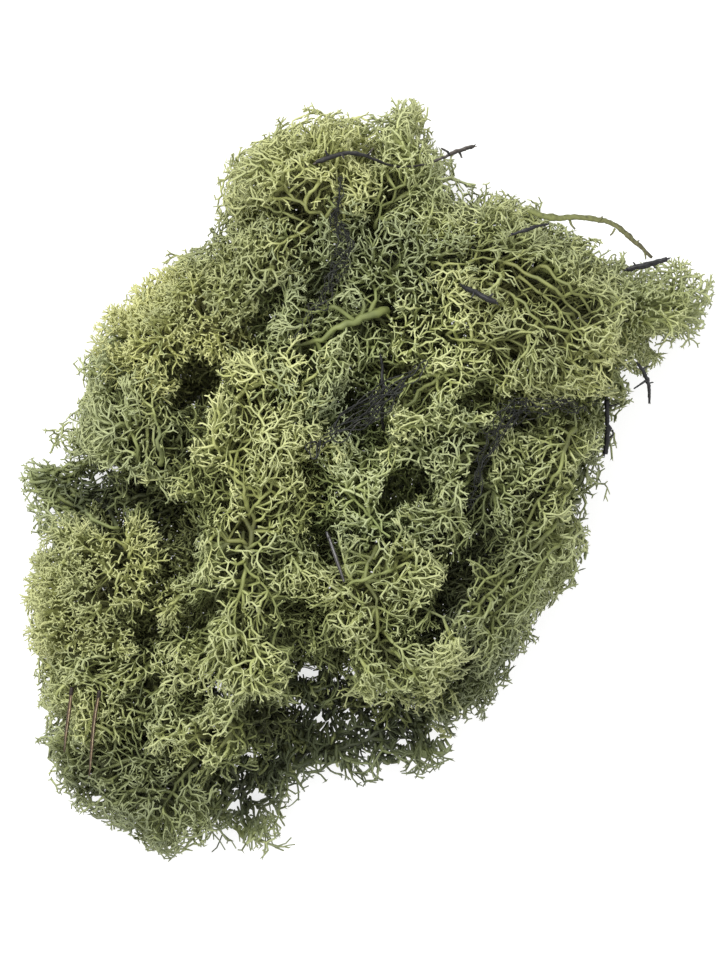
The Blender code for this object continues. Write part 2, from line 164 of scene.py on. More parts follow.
# dark pits between the tufts: centre, half length, half width, turn in degrees, how far the top drops
HOLLOWS = [
    (-46, 24, 6.5, 8.5, 0, 27),
    (-50, 8, 4, 9, -8, 14),
    (-50, -14, 5.5, 9, 8, 25),
    (-45, -39, 5, 7, 0, 26),
    (-55, -42, 8, 4.5, -12, 15),
    (-68, -8, 8, 5, 20, 14),
    (-57, -10, 8, 6, 0, 9),
    (0, 17, 13, 8, 25, 12),
    (-15, 4, 3.5, 6, 0, 10),
    (-11, -18, 4.5, 7, 0, 11),
    (13, -3, 6.5, 7.5, 0, 20),
    (5, 8, 4, 6, 0, 18),
    (19, -41.5, 4.8, 6, 0, 34),
    (26, -31, 5, 3, 40, 12),
    (15, 24, 5, 5, -20, 9),
    (5, 35, 4.5, 6, 0, 10),
    (43, 19, 14, 5, -10, 18),
    (60, 22, 9, 5, -12, 18),
    (-26, 51, 7, 4.5, 20, 8),
    (-11, 52, 4, 4, 0, 5),
    (-15, -40, 8, 6, 0, 16),
    (-51, -29, 6, 5, 0, 12),
    (-10, -56, 10, 7, 0, 24),
    (-26, -70, 8, 8, 0, 10),
    (4, -65.5, 15, 5, 0, 15),
    (-57, -63, 9, 4, 0, 5),
    (-52, -80, 5, 6, 0, 5),
    (33, -6, 4, 9, 0, 8),
    (68, 31, 9, 4, -20, 8),
    (-69, 24, 4, 8, 0, 9),
    (-20, -12, 4, 4, 0, 5),
    (-24, -22, 3, 4, 0, 7),
    (-40, -2, 3.5, 5, 0, 8),
    (-72, 12, 4, 4, 0, 8),
    (36, -20, 3, 7, -40, 9),
]

# places where the floor shows through: centre, half length, half width
OPENINGS = [
    (-15.5, -54.2, 2.0, 1.5),
    (-2.6, -55.0, 1.1, 1.1),
    (-40.3, -59.3, 1.5, 1.5),
    (-15.4, -56.0, 2.4, 1.7),
    (-17.0, -65, 1.3, 1.2),
    (-12.5, -69.0, 1.2, 0.9),
    (-4.5, -66.5, 0.7, 0.8),
    (-32.4, -78.8, 1.2, 1.0),
    (0.6, -79.4, 1.8, 1.2),
    (-29.6, -91.3, 1.8, 1.3),
    (-36, -94, 1.2, 1.1),
    (-26.5, -94.5, 1.2, 1.3),
    (-31, -96, 1.1, 1.1),
    (-68.5, -9.8, 1.3, 0.9),
    (-76, 0.5, 1.1, 0.9),
    (-71, 3.0, 0.9, 0.8),
    (12, -75.6, 1.3, 0.9),
    (21, -74, 1.3, 1.0),
]

# thin open nets of branches near the floor: centre, half length, half width, lowest, highest
NETS = [
    (0, -74, 27, 12, 1, 18),
    (-30, -94, 14, 14, 2, 15),
    (-84, -3, 14, 10, 3, 17),
]

# ------------------------------------------------------------------ the tufts as a grid
CELL = 1.0
LOW = np.array([-112.0, -120.0, -12.0])
DIM = np.array([224, 240, 88])


def mesh_arrays(ob):
    me = ob.data
    co = np.empty(len(me.vertices) * 3, np.float64)
    me.vertices.foreach_get("co", co)
    me.calc_loop_triangles()
    tri = np.empty(len(me.loop_triangles) * 3, np.int64)
    me.loop_triangles.foreach_get("vertices", tri)
    return co.reshape(-1, 3) * 1000.0, tri.reshape(-1, 3)


def fill_grid():
    """Which tuft each grid cell lies in, or -1."""
    label = np.full(DIM, -1, np.int16)
    for t, name in enumerate(NAMES):
        co, tri = mesh_arrays(NODES[name])
        xs, ys, zs = [], [], []
        for a, b, c in co[tri]:
            i0 = math.ceil((min(a[0], b[0], c[0]) - LOW[0]) / CELL - 0.5137)
            i1 = math.floor((max(a[0], b[0], c[0]) - LOW[0]) / CELL - 0.5137)
            j0 = math.ceil((min(a[1], b[1], c[1]) - LOW[1]) / CELL - 0.5219)
            j1 = math.floor((max(a[1], b[1], c[1]) - LOW[1]) / CELL - 0.5219)
            if i1 < i0 or j1 < j0:
                continue
            ii, jj = np.meshgrid(np.arange(i0, i1 + 1), np.arange(j0, j1 + 1), indexing="ij")
            px = LOW[0] + (ii + 0.5137) * CELL
            py = LOW[1] + (jj + 0.5219) * CELL
            det = (b[1] - c[1]) * (a[0] - c[0]) + (c[0] - b[0]) * (a[1] - c[1])
            if abs(det) < 1e-12:
                continue
            u = ((b[1] - c[1]) * (px - c[0]) + (c[0] - b[0]) * (py - c[1])) / det
            v = ((c[1] - a[1]) * (px - c[0]) + (a[0] - c[0]) * (py - c[1])) / det
            ok = (u >= 0) & (v >= 0) & (u + v <= 1)
            if not ok.any():
                continue
            z = u * a[2] + v * b[2] + (1 - u - v) * c[2]
            xs.append(ii[ok])
            ys.append(jj[ok])
            zs.append(z[ok])
        x, y, z = np.concatenate(xs), np.concatenate(ys), np.concatenate(zs)
        order = np.lexsort((z, y, x))
        x, y, z = x[order], y[order], z[order]
        column = x * 100000 + y
        cols, first, count = np.unique(column, return_index=True, return_counts=True)
        for f, n in zip(first, count):
            for k in range(f, f + n - n % 2, 2):
                k0 = math.ceil((z[k] - LOW[2]) / CELL - 0.5)
                k1 = math.floor((z[k + 1] - LOW[2]) / CELL - 0.5)
                if k1 >= k0:
                    label[x[k], y[k], k0 : k1 + 1] = t
    return label


def distance(inside, reach, axes=(0, 1, 2)):
    """Distance in mm from each cell to the nearest cell that isn't inside, up to reach."""
    big = np.float32((reach + 1) ** 2)
    f = np.where(inside, big, np.float32(0.0))
    for axis in axes:
        g = f.copy()
        for k in range(1, reach + 1):
            kk = np.float32(k * k)
            head = [slice(None)] * 3
            tail = [slice(None)] * 3
            head[axis] = slice(k, None)
            tail[axis] = slice(None, -k)
            head, tail = tuple(head), tuple(tail)
            np.minimum(g[head], f[tail] + kk, out=g[head])
            np.minimum(g[tail], f[head] + kk, out=g[tail])
        f = g
    return np.sqrt(np.minimum(f, big))


def blur(f, times=1):
    for _ in range(times):
        for axis in range(3):
            f = (np.roll(f, 1, axis) + 2 * f + np.roll(f, -1, axis)) / 4
    return f


def lattice_field(seed, scale):
    r = np.random.default_rng(seed)
    shape = tuple(int(math.ceil(d * CELL / scale)) + 3 for d in DIM)
    f = r.standard_normal(shape).astype(np.float32)
    for axis in range(3):
        q = (np.arange(DIM[axis]) + 0.5) * CELL / scale
        i = np.floor(q).astype(np.int64)
        w = (q - i).astype(np.float32)
        w = w * w * (3 - 2 * w)
        shape_w = [1, 1, 1]
        shape_w[axis] = -1
        w = w.reshape(shape_w)
        f = np.take(f, i, axis) * (1 - w) + np.take(f, i + 1, axis) * w
    return f


label = fill_grid()
solid = label >= 0
K0 = int(round(-LOW[2] / CELL))
GX = (LOW[0] + (np.arange(DIM[0]) + 0.5) * CELL)[:, None]
GY = (LOW[1] + (np.arange(DIM[1]) + 0.5) * CELL)[None, :]
GZ = (LOW[2] + (np.arange(DIM[2]) + 0.5) * CELL)[None, None, :]


def edge_distance():
    """How far each column stands inside the outline; below zero outside."""
    pts = np.array(OUTLINE, float) + SHIFT[:2]
    inside = np.zeros((DIM[0], DIM[1]), bool)
    best = np.full((DIM[0], DIM[1]), 1e9)
    for a, b in zip(pts, np.roll(pts, -1, 0)):
        if a[1] != b[1]:
            at = (b[0] - a[0]) * (GY - a[1]) / (b[1] - a[1]) + a[0]
            inside ^= ((a[1] > GY) != (b[1] > GY)) & (GX < at)
        ab = b - a
        f = np.clip(((GX - a[0]) * ab[0] + (GY - a[1]) * ab[1]) / (ab @ ab), 0, 1)
        best = np.minimum(best, np.hypot(GX - a[0] - f * ab[0], GY - a[1] - f * ab[1]))
    return np.where(inside, best, -best)


def inside_oval(x, y, a, b, turn=0.0):
    """Square of how far out in an oval each column stands: under 1 is inside."""
    c, s = math.cos(math.radians(turn)), math.sin(math.radians(turn))
    dx, dy = GX - x - SHIFT[0], GY - y - SHIFT[1]
    return ((dx * c + dy * s) / a) ** 2 + ((dy * c - dx * s) / b) ** 2


def top_of(cells):
    """Height of the highest cell over each column, 0 where there is none."""
    k = np.where(cells.any(axis=2), DIM[2] - 1 - np.argmax(cells[:, :, ::-1], axis=2), -1)
    return np.where(k >= 0, LOW[2] + (k + 1.0) * CELL, 0.0)


# the tufts mesh together: they spread sideways over the clear space and out to the outline,
# and hollows narrower than twice CLOSE are grown shut
EDGE = edge_distance()
for k in range(K0):
    solid[:, :, k] = solid[:, :, K0]
CLOSE = 6
wide = distance(~solid, CLOSE + 2)
wide[:, :, : K0 + 1] = wide[:, :, K0 + 1 : K0 + 2]
solid = solid | (distance(wide <= CLOSE, CLOSE + 1) > CLOSE - 0.4)
solid = distance(~solid, 7, (0, 1)) <= 6.0
e = EDGE[:, :, None] + 1.4
solid &= (e > 0) & (GZ < 10 + 43 * np.sqrt(np.clip(e, 0, 11) / 11))
solid &= (GZ > 9 * (1 - np.sqrt(np.clip(e, 0, 7) / 7))) | (e > 7)
HULL = blur(distance(solid, 14) - 0.5, 2).astype(np.float32)
high = top_of(solid)
for _ in range(3):
    high = (np.roll(high, 1, 0) + np.roll(high, -1, 0) + np.roll(high, 1, 1) + np.roll(high, -1, 1)) / 4
uneven = lattice_field(41, 5.0)[:, :, 20]
for x, y, a, b, turn, drop in HOLLOWS:
    r2 = inside_oval(x, y, a * 1.2, b * 1.2, turn) + 0.5 * uneven
    floor_of = high - drop * np.clip(1.15 * (1 - r2), 0, 1) ** 0.8
    solid &= ~((r2 < 1)[:, :, None] & (GZ > np.maximum(floor_of, 5)[:, :, None]))
for x, y, a, b, low, top in NETS:
    r2 = inside_oval(x, y, a, b)
    allowed = top + 30 * np.clip(r2 - 0.7, 0, None)
    solid &= ~((r2 < 1.6)[:, :, None] & (GZ > allowed[:, :, None]))
    solid &= ~((r2 < 0.8)[:, :, None] & (GZ < low))
for x, y, a, b in OPENINGS:
    solid &= ~(inside_oval(x, y, a + 0.8, b + 0.8) < 1)[:, :, None]
DEPTH_REACH = 16
depth = distance(solid, DEPTH_REACH) - 0.5
outer = distance(~solid, 6) - 0.5
SIGNED = np.where(solid, depth, -outer).astype(np.float32)


SIGNED = blur(SIGNED, 1)
# a clump's face is never smooth: broad lumps, small lumps
SIGNED = SIGNED + 2.4 * lattice_field(31, 8.0) + 2.1 * lattice_field(32, 4.4) - 0.9
SIGNED = np.minimum(SIGNED, EDGE[:, :, None] + 2.5 + 2.2 * lattice_field(33, 3.6))
SIGNED = np.minimum(SIGNED, 67.0 - GZ)
for x, y, a, b in OPENINGS:
    away = (np.sqrt(inside_oval(x, y, a, b)) - 1) * min(a, b)
    SIGNED = np.minimum(SIGNED, away[:, :, None] - 0.4)
SIGNED = SIGNED.astype(np.float32)
GRAD = np.stack(np.gradient(blur(SIGNED, 2)), axis=-1).astype(np.float32)
near = label.copy()
near[:, :, :K0] = -1
for _ in range(10):  # cells just outside take a neighbour's tuft
    for axis in range(3):
        for step in (1, -1):
            moved = np.roll(near, step, axis)
            near = np.where(near < 0, moved, near)
owner_of = np.where(solid, near, -1)
owner_of[:, :, :K0] = -1
print("grid", round(time.time() - T0, 1))


def cell_of(p):
    ijk = np.floor((p - LOW) / CELL).astype(np.int64)
    return np.clip(ijk, 0, DIM - 1)


def signed_at(p, field=None):
    field = SIGNED if field is None else field
    q = (p - LOW) / CELL - 0.5
    i = np.clip(np.floor(q).astype(np.int64), 0, DIM - 2)
    f = np.clip(q - i, 0, 1)
    out = 0.0
    for dx in (0, 1):
        wx = f[..., 0] if dx else 1 - f[..., 0]
        for dy in (0, 1):
            wy = f[..., 1] if dy else 1 - f[..., 1]
            for dz in (0, 1):
                wz = f[..., 2] if dz else 1 - f[..., 2]
                out = out + wx * wy * wz * field[i[..., 0] + dx, i[..., 1] + dy, i[..., 2] + dz]
    return out


def outward_at(p):
    c = cell_of(p)
    g = -GRAD[c[..., 0], c[..., 1], c[..., 2]]
    return g / np.maximum(np.linalg.norm(g, axis=-1, keepdims=True), 1e-6)


def tuft_at(p):
    c = cell_of(p)
    return near[c[..., 0], c[..., 1], c[..., 2]]


# height of the clump's top over each column
TOP = top_of(SIGNED > 0)


def top_at(x, y):
    i = int(np.clip((x - LOW[0]) / CELL, 1, DIM[0] - 2))
    j = int(np.clip((y - LOW[1]) / CELL, 1, DIM[1] - 2))
    return float(TOP[i - 1 : i + 2, j - 1 : j + 2].mean())


# smooth random field, for ragged edges and drifts of colour
def noise_field(seed, scale):
    r = np.random.default_rng(seed)
    shape = tuple(int(math.ceil(d * CELL / scale)) + 3 for d in DIM)
    lattice = r.standard_normal(shape).astype(np.float32)

    def at(p):
        q = (p - LOW) / scale
        i = np.clip(np.floor(q).astype(np.int64), 0, np.array(shape) - 2)
        f = np.clip(q - i, 0, 1)
        f = f * f * (3 - 2 * f)
        out = 0.0
        for dx in (0, 1):
            wx = f[..., 0] if dx else 1 - f[..., 0]
            for dy in (0, 1):
                wy = f[..., 1] if dy else 1 - f[..., 1]
                for dz in (0, 1):
                    wz = f[..., 2] if dz else 1 - f[..., 2]
                    out = out + wx * wy * wz * lattice[i[..., 0] + dx, i[..., 1] + dy, i[..., 2] + dz]
        return out

    return at


swirl = [noise_field(11 + k, 10.0) for k in range(3)]
FEET = np.array([TUFTS[n][0] for n in NAMES], float) + SHIFT


def flow_at(p, t):
    """Which way the branches lie: away from their tuft's foot, turned by a slow swirl."""
    d = p - FEET[t]
    d = d * np.array([1.0, 1.0, 0.45])
    d /= np.maximum(np.linalg.norm(d, axis=-1, keepdims=True), 1e-6)
    d = d + 0.8 * np.stack([f(p) for f in swirl], axis=-1)
    return d / np.maximum(np.linalg.norm(d, axis=-1, keepdims=True), 1e-6)


ragged = noise_field(1, 4.5)
clumpy = noise_field(2, 11.0)
drift = noise_field(3, 17.0)

# ------------------------------------------------------------------ room already taken
OCELL = 0.5
ODIM = (DIM * CELL / OCELL).astype(np.int64)
TAKEN = np.zeros(ODIM, np.uint8)
CROSS = np.array([[0, 0, 0], [1, 0, 0], [-1, 0, 0], [0, 1, 0], [0, -1, 0], [0, 0, 1], [0, 0, -1]])
CORNERS = np.array([[a, b, c] for a in (-1, 1) for b in (-1, 1) for c in (-1, 1)]) * 0.62
PROBE = np.concatenate([CROSS[1:].astype(float), CORNERS])


def take(points, fat=False):
    c = np.floor((points - LOW) / OCELL).astype(np.int64)
    offs = CROSS if not fat else np.array([[a, b, d] for a in (-1, 0, 1) for b in (-1, 0, 1) for d in (-1, 0, 1)])
    for o in offs:
        q = np.clip(c + o, 0, ODIM - 1)
        TAKEN[q[:, 0], q[:, 1], q[:, 2]] = 1


def crowd(points, reach):
    """How many probes round each point, at distance reach, fall in room already taken."""
    total = np.zeros(points.shape[:-1], np.float32)
    for o in PROBE:
        c = np.floor((points + o * reach[..., None] - LOW) / OCELL).astype(np.int64)
        c = np.clip(c, 0, ODIM - 1)
        total += TAKEN[c[..., 0], c[..., 1], c[..., 2]]
    return total


# ------------------------------------------------------------------ the growing plant
POS, PARENT, TUFT, FIXED = [], [], [], []  # node lists; FIXED is a stem's own radius or 0


def add_node(p, parent, tuft, radius=0.0):
    POS.append(np.asarray(p, float))
    PARENT.append(parent)
    TUFT.append(tuft)
    FIXED.append(radius)
    return len(POS) - 1


def smooth_path(points, step):
    """Catmull-Rom path through the points, a point about every step."""
    pts = np.asarray(points, float)
    ext = np.vstack([2 * pts[0] - pts[1], pts, 2 * pts[-1] - pts[-2]])
    out = [pts[0]]
    for i in range(len(pts) - 1):
        p0, p1, p2, p3 = ext[i : i + 4]
        n = max(1, int(round(np.linalg.norm(p2 - p1) / step)))
        for k in range(1, n + 1):
            t = k / n
            out.append(
                0.5
                * (
                    2 * p1
                    + (p2 - p0) * t
                    + (2 * p0 - 5 * p1 + 4 * p2 - p3) * t * t
                    + (3 * p1 - p0 - 3 * p2 + p3) * t**3
                )
            )
    return np.array(out)


def spaced(points, spacing, order):
    """Indices of points kept no closer than spacing to one another."""
    kept, cells = [], {}
    for i in order:
        p = points[i]
        s = spacing[i]
        key = (int(p[0] // 6), int(p[1] // 6), int(p[2] // 6))
        free = True
        for dx in (-1, 0, 1):
            for dy in (-1, 0, 1):
                for dz in (-1, 0, 1):
                    for q in cells.get((key[0] + dx, key[1] + dy, key[2] + dz), ()):
                        if (p[0] - q[0]) ** 2 + (p[1] - q[1]) ** 2 + (p[2] - q[2]) ** 2 < s * s:
                            free = False
                            break
                    if not free:
                        break
                if not free:
                    break
            if not free:
                break
        if free:
            kept.append(i)
            cells.setdefault(key, []).append(p)
    return kept


SHELL = 7.0  # depth at which stems begin to fork finely
seeds = []  # (node, direction, tuft, vigour)


def seed_from(node, direction, tuft, vigour=1.0):
    seeds.append((node, np.asarray(direction, float), tuft, vigour))


def raise_tuft(t, name):
    (fx, fy, fz), fine, bare, bright, yellow = TUFTS[name]
    foot = np.array([fx, fy, fz], float) + SHIFT
    cells = np.argwhere(owner_of == t)
    centres = LOW + (cells + rng.random(cells.shape)) * CELL
    s = signed_at(centres)
    mid = centres.mean(axis=0)
    if signed_at(foot[None])[0] < 2.0:
        foot = foot * 0.5 + mid * 0.5
    # goals just under the surface, and a thinner scatter inside
    want = np.where((s > 4.2) & (s < 7.0), 1, np.where(s >= 8.6, 2, 0))
    thin = s.max() < 7.5
    if thin:
        want = np.where(s > max(0.4 * s.max(), 1.2), 1, 0)
    idx = np.where((want > 0) & (centres[:, 2] > 1.5))[0]
    gap = np.where(want == 1, (5.9 if fine > 0.85 else 5.2) * fine, 7.0)
    order = rng.permutation(idx)
    order = order[np.argsort(want[order], kind="stable")]
    kept = spaced(centres, gap, order)
    goals = centres[kept]
    shallow = want[kept] == 1
    # hold the tree: the foot, then the stems that lie in plain sight
    start = len(POS)
    root = add_node(foot, -1, t)
    path_len = [0.0]
    ids = [root]
    for owner, pts, r0, r1 in STEMS:
        if owner != name:
            continue
        line = []
        for x, y, d in pts:
            x, y = x + SHIFT[0], y + SHIFT[1]
            line.append((x, y, max(top_at(x, y) - d - 0.7, 2.5)))
        line = smooth_path(line, 2.6)
        line[1:-1] += rng.normal(0, 0.40, line[1:-1].shape)
        # led up from the foot out of sight
        a = foot
        b = line[0]
        lead = smooth_path([a, (a + b) / 2 + np.array([0, 0, -2.0]), b], 4.5)[1:-1]
        lead[:, 2] = np.maximum(lead[:, 2], 1.6)
        last, travelled = root, 0.0
        for q in lead:
            n = add_node(q, last, t, r0)
            travelled += np.linalg.norm(POS[n] - POS[last])
            ids.append(n)
            path_len.append(travelled)
            last = n
        for k, q in enumerate(line):
            n = add_node(q, last, t, r0 + (r1 - r0) * k / (len(line) - 1))
            travelled += np.linalg.norm(POS[n] - POS[last])
            ids.append(n)
            path_len.append(travelled * 0.6)
            if 0 < k:
                ahead = POS[n] - POS[last]
                ahead /= max(np.linalg.norm(ahead), 1e-6)
                if rng.random() < 0.85:
                    side = np.cross(ahead, rng.standard_normal(3))
                    side /= np.linalg.norm(side)
                    side[2] *= 0.7
                    seed_from(n, ahead * 0.55 + side, t)
                if k == len(line) - 1:
                    seed_from(n, ahead, t)
            last = n
    tree = np.array([POS[i] for i in ids])
    cost_len = np.array(path_len)
    left = list(range(len(goals)))
    best = np.full(len(goals), np.inf)
    link = np.zeros(len(goals), np.int64)
    dist = np.linalg.norm(goals[:, None] - tree[None], axis=2)
    cost = dist + 0.42 * cost_len[None]
    link = cost.argmin(axis=1)
    best = cost.min(axis=1)
    alive = np.ones(len(goals), bool)
    far = {i: l for i, l in zip(ids, path_len)}
    for _ in range(len(goals)):
        g = int(np.where(alive, best, np.inf).argmin())
        alive[g] = False
        parent = ids[link[g]] if link[g] < len(ids) else link[g]
        p = POS[parent]
        q = goals[g]
        length = float(np.linalg.norm(q - p))
        # bend the run, and set the goal of its last step a little outward
        steps = max(1, int(round(length / 3.4)))
        bend = np.cross(q - p, rng.standard_normal(3))
        bend *= 0.16 * length / max(np.linalg.norm(bend), 1e-6)
        last = parent
        travelled = far[parent]
        for k in range(1, steps + 1):
            f = k / steps
            w = p + (q - p) * f + bend * math.sin(math.pi * f) + rng.normal(0, 0.25, 3)
            w[2] = max(w[2], 1.2)
            n = add_node(w, last, t)
            travelled += float(np.linalg.norm(w - POS[last]))
            far[n] = travelled
            ids.append(n)
            fresh = np.linalg.norm(goals - w, axis=1) + 0.42 * travelled
            better = alive & (fresh < best)
            best[better] = fresh[better]
            link[better] = len(ids) - 1
            ahead = w - POS[last]
            ahead /= max(np.linalg.norm(ahead), 1e-6)
            sd = float(signed_at(w[None])[0])
            if k < steps and sd < 13 and rng.random() < 0.55:
                side = np.cross(ahead, rng.standard_normal(3))
                side /= np.linalg.norm(side)
                seed_from(n, ahead * 0.4 + side, t)
            last = n
        if shallow[g]:
            out = outward_at(q[None])[0]
            seed_from(last, ahead * 0.4 + out * 0.7 + flow_at(q[None], np.array([t]))[0] * 0.4, t)
        else:
            seed_from(last, ahead + rng.normal(0, 0.4, 3), t)
    for n in range(start, len(POS)):
        if PARENT[n] >= 0:
            a, b = POS[PARENT[n]], POS[n]
            k = max(2, int(np.linalg.norm(b - a) / 0.45))
            take(a + (b - a) * (np.arange(k + 1) / k)[:, None], fat=True)


LITTER_CO = {n: mesh_arrays(o)[0] for n, o in NODES.items() if not n.startswith("tuft")}


def litter_at(name, points):
    """Puts each (x, y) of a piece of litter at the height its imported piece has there."""
    co = LITTER_CO[name]
    out = []
    for p in points:
        x, y = p[0] + SHIFT[0], p[1] + SHIFT[1]
        d = np.hypot(co[:, 0] - x, co[:, 1] - y)
        out.append((x, y, co[d < max(1.6, d.min() + 0.6), 2].mean()))
    return np.array(out)


# litter: piece, then its run as (x, y, radius)
TWIGS = {
    "twig_crown": [(-12.4, 87.3, 0.48), (-8.6, 89.0, 0.62), (-4.6, 90.4, 0.56), (-1, 90.4, 0.40), (4, 88.9, 0.30),
                   (8, 87.6, 0.28), (13, 87.4, 0.3), (20, 88.6, 0.36), (25, 90.2, 0.52), (31.4, 93, 0.6)],
    "stem_arm": [(47, 74.2, 0.74), (52, 72.4, 0.86), (56, 72.0, 0.84), (60, 72.2, 0.76), (66, 71.6, 0.70),
                 (71, 69.6, 0.72), (76.2, 65.4, 0.62), (81, 61.6, 0.46)],
    "twig_arm": [(74.6, 58.6, 0.5), (79, 59.8, 0.75), (82, 60.4, 0.7), (85.5, 61.4, 0.6)],
    "twig_hanging": [(69.6, 22.4, 0.6), (70.2, 17, 0.65), (70.3, 12, 0.75), (69.3, 7.2, 0.8)],
    "twig_fringe": [(77.5, 32, 0.4), (79.5, 29, 0.55), (80.6, 25.5, 0.5), (81, 22, 0.3)],
    "twig_arm_mid": [(28, 53.2, 0.5), (33, 50.2, 0.75), (37, 48.4, 0.65)],
    "twig_arm_top": [(42, 67.6, 0.35), (46, 69.0, 0.42), (51.5, 70.4, 0.35)],
    "twig_centre": [(5.7, 34, 0.35), (6.2, 28, 0.42), (6.0, 21, 0.4), (6.3, 14, 0.35)],
    "needle_left": [(-80.9, -58.4, 0.45), (-81.7, -65, 0.58), (-82.9, -72, 0.5), (-83.7, -77.0, 0.22)],
    "needle_right": [(-73.0, -59.2, 0.45), (-74.5, -67, 0.58), (-75.6, -77, 0.5), (-76.2, -83.4, 0.22)],
    "needle_dark": [(-9.4, -14.6, 0.4), (-7, -21.5, 0.6), (-4.6, -28.4, 0.35)],
}
STRANDS = {
    "strand_crown": [(-5.2, 82, 0.3), (-6.4, 73, 0.7), (-4.8, 63.5, 1.7), (-7, 57, 1.1), (-10.5, 50, 0.8),
                     (-15, 43, 1.1), (-19.5, 38.5, 0.5)],
    "strand_hollow": [(-12, 9, 1.6), (-6, 14, 3.4), (2, 19, 4.4), (9.5, 25, 3.4), (15.5, 30, 1.4)],
    "strand_right": [(30.5, -9, 0.5), (32.5, -1, 0.8), (34.5, 7, 1.3), (38, 14, 2.6), (43, 18.4, 3.2), (49, 19.4, 2.4),
                     (56, 19.6, 1.8), (63, 20.4, 0.9)],
}
for table_of, share in ((TWIGS, 1.0), (STRANDS, 0.3)):
    for name, run in table_of.items():
        line = smooth_path(litter_at(name, run), 0.7)
        if name == "twig_crown":  # its middle runs under the moss
            line = line[(line[:, 0] < 2) | (line[:, 0] > 20)]
        for up in np.arange(0, 9, 0.5):
            for sx, sy in ((0, 0), (0.7, 0), (-0.7, 0), (0, 0.7), (0, -0.7)):
                part = line + np.array([sx, sy, up])
                take(part[rng.random(len(part)) < share])

for t, name in enumerate(NAMES):
    raise_tuft(t, name)
open_stem = {NAMES.index("tuft_centre_top"): 0.62, NAMES.index("tuft_arm_mid"): 0.26, NAMES.index("tuft_right_low"): 0.28,
             NAMES.index("tuft_column_upper"): 0.1, NAMES.index("tuft_column_lower"): 0.12}
for n, r in enumerate(FIXED):
    if r >= 0.5 and PARENT[n] >= 0:
        share = open_stem.get(TUFT[n], 0.2)
        a, b = POS[PARENT[n]], POS[n]
        if top_at(b[0], b[1]) - b[2] > 5.5:  # this part lies deep, and stays covered
            continue
        for f in (0.25, 0.5, 0.75, 1.0):
            for up in np.arange(r + 0.4, 6, 0.5):
                wide_at = r + 0.1
                part = a + (b - a) * f + np.array([[0, 0, up], [wide_at, 0, up], [-wide_at, 0, up], [0, wide_at, up],
                                                   [0, -wide_at, up]])
                take(part[rng.random(5) < share])
print("frame nodes", len(POS), "seeds", len(seeds), round(time.time() - T0, 1))

# ------------------------------------------------------------------ forking, all tufts together
FINE = np.array([TUFTS[n][1] for n in NAMES])
BARE = np.array([TUFTS[n][2] for n in NAMES])
LAY = np.clip((FINE - 0.72) / 0.3, 0.1, 1)  # the fine cushions stand on end, the rest lie over



def edge_at(p):
    """How far inside the outline each point stands."""
    c = np.clip(((np.asarray(p)[:, :2] - LOW[:2]) / CELL).astype(int), 0, np.array(EDGE.shape) - 1)
    return EDGE[c[:, 0], c[:, 1]]


pos_all = [np.array(POS)]
par_all = [np.array(PARENT)]
tuft_all = [np.array(TUFT)]
total = len(POS)
dir_s = np.array([s[1] for s in seeds])
dir_s /= np.linalg.norm(dir_s, axis=1, keepdims=True)
tips = {
    "p": np.array([POS[s[0]] for s in seeds]),
    "d": dir_s,
    "n": np.array([s[0] for s in seeds]),
    "t": np.array([s[2] for s in seeds]),
    "g": np.zeros(len(seeds), np.int64),
    "b": (rng.random(len(seeds)) < 0.035 + 0.07 * (edge_at([POS[s[0]] for s in seeds]) < 6)).astype(float),
}


def frame_of(d):
    """Two unit vectors across each direction."""
    helper = np.where(np.abs(d[..., 2:3]) < 0.9, [0.0, 0.0, 1.0], [1.0, 0.0, 0.0])
    u = np.cross(d, helper)
    u /= np.linalg.norm(u, axis=-1, keepdims=True)
    return u, np.cross(d, u)


def unit(v):
    return v / np.maximum(np.linalg.norm(v, axis=-1, keepdims=True), 1e-9)


def fork(p, d, tuft, ways, length, lean, k=8, pull=0.25, limit=None, room=None):
    """Best of k turned sets of children for each tip. Returns directions, ends and which may grow."""
    m = len(p)
    u, v = frame_of(d)
    turn = rng.random((m, k, 1)) * 2 * math.pi
    step = np.arange(ways)[None, None] * (2 * math.pi / ways)
    az = turn + step + rng.normal(0, 0.25, (m, k, ways))
    tilt = lean[:, None, None] * (1 + rng.normal(0, 0.22, (m, k, ways)))
    c, s = np.cos(tilt), np.sin(tilt)
    dirs = (
        d[:, None, None] * c[..., None]
        + u[:, None, None] * (s * np.cos(az))[..., None]
        + v[:, None, None] * (s * np.sin(az))[..., None]
    )
    out = outward_at(p)
    here = signed_at(p)
    drawn = out * (pull + 0.25 * (1 - LAY[tuft]))[:, None] + flow_at(p, tuft) * (0.16 * LAY[tuft])[:, None]
    dirs = unit(dirs + drawn[:, None, None])
    # near the face branches turn along it
    along = np.maximum((dirs * out[:, None, None]).sum(-1, keepdims=True), 0)
    flat = (0.75 * LAY[tuft] * np.clip(1.2 - here / 4.5, 0, 1))[:, None, None, None]
    dirs = unit(dirs - out[:, None, None] * along * flat)
    reach = length[:, None, None] * (1 + rng.normal(0, 0.13, (m, k, ways)))
    ends = p[:, None, None] + dirs * reach[..., None]
    probe = np.broadcast_to(room[:, None, None], reach.shape)
    busy = crowd(ends, probe) + 0.8 * crowd(p[:, None, None] + dirs * (reach * 1.35)[..., None], probe * 0.8)
    sd = signed_at(ends)
    over = np.maximum(0, limit[:, None, None] - sd)
    under = np.maximum(0, 0.7 - ends[..., 2])
    other = tuft_at(ends)
    stray = (other != tuft[:, None, None]) & (other >= 0) & (sd > 0.5)
    score = busy + 9.0 * over + 12.0 * under + 1.6 * stray + rng.random(busy.shape) * 0.8
    pick = score.sum(axis=2).argmin(axis=1)
    rows = np.arange(m)
    return dirs[rows, pick], ends[rows, pick], score[rows, pick], busy[rows, pick]


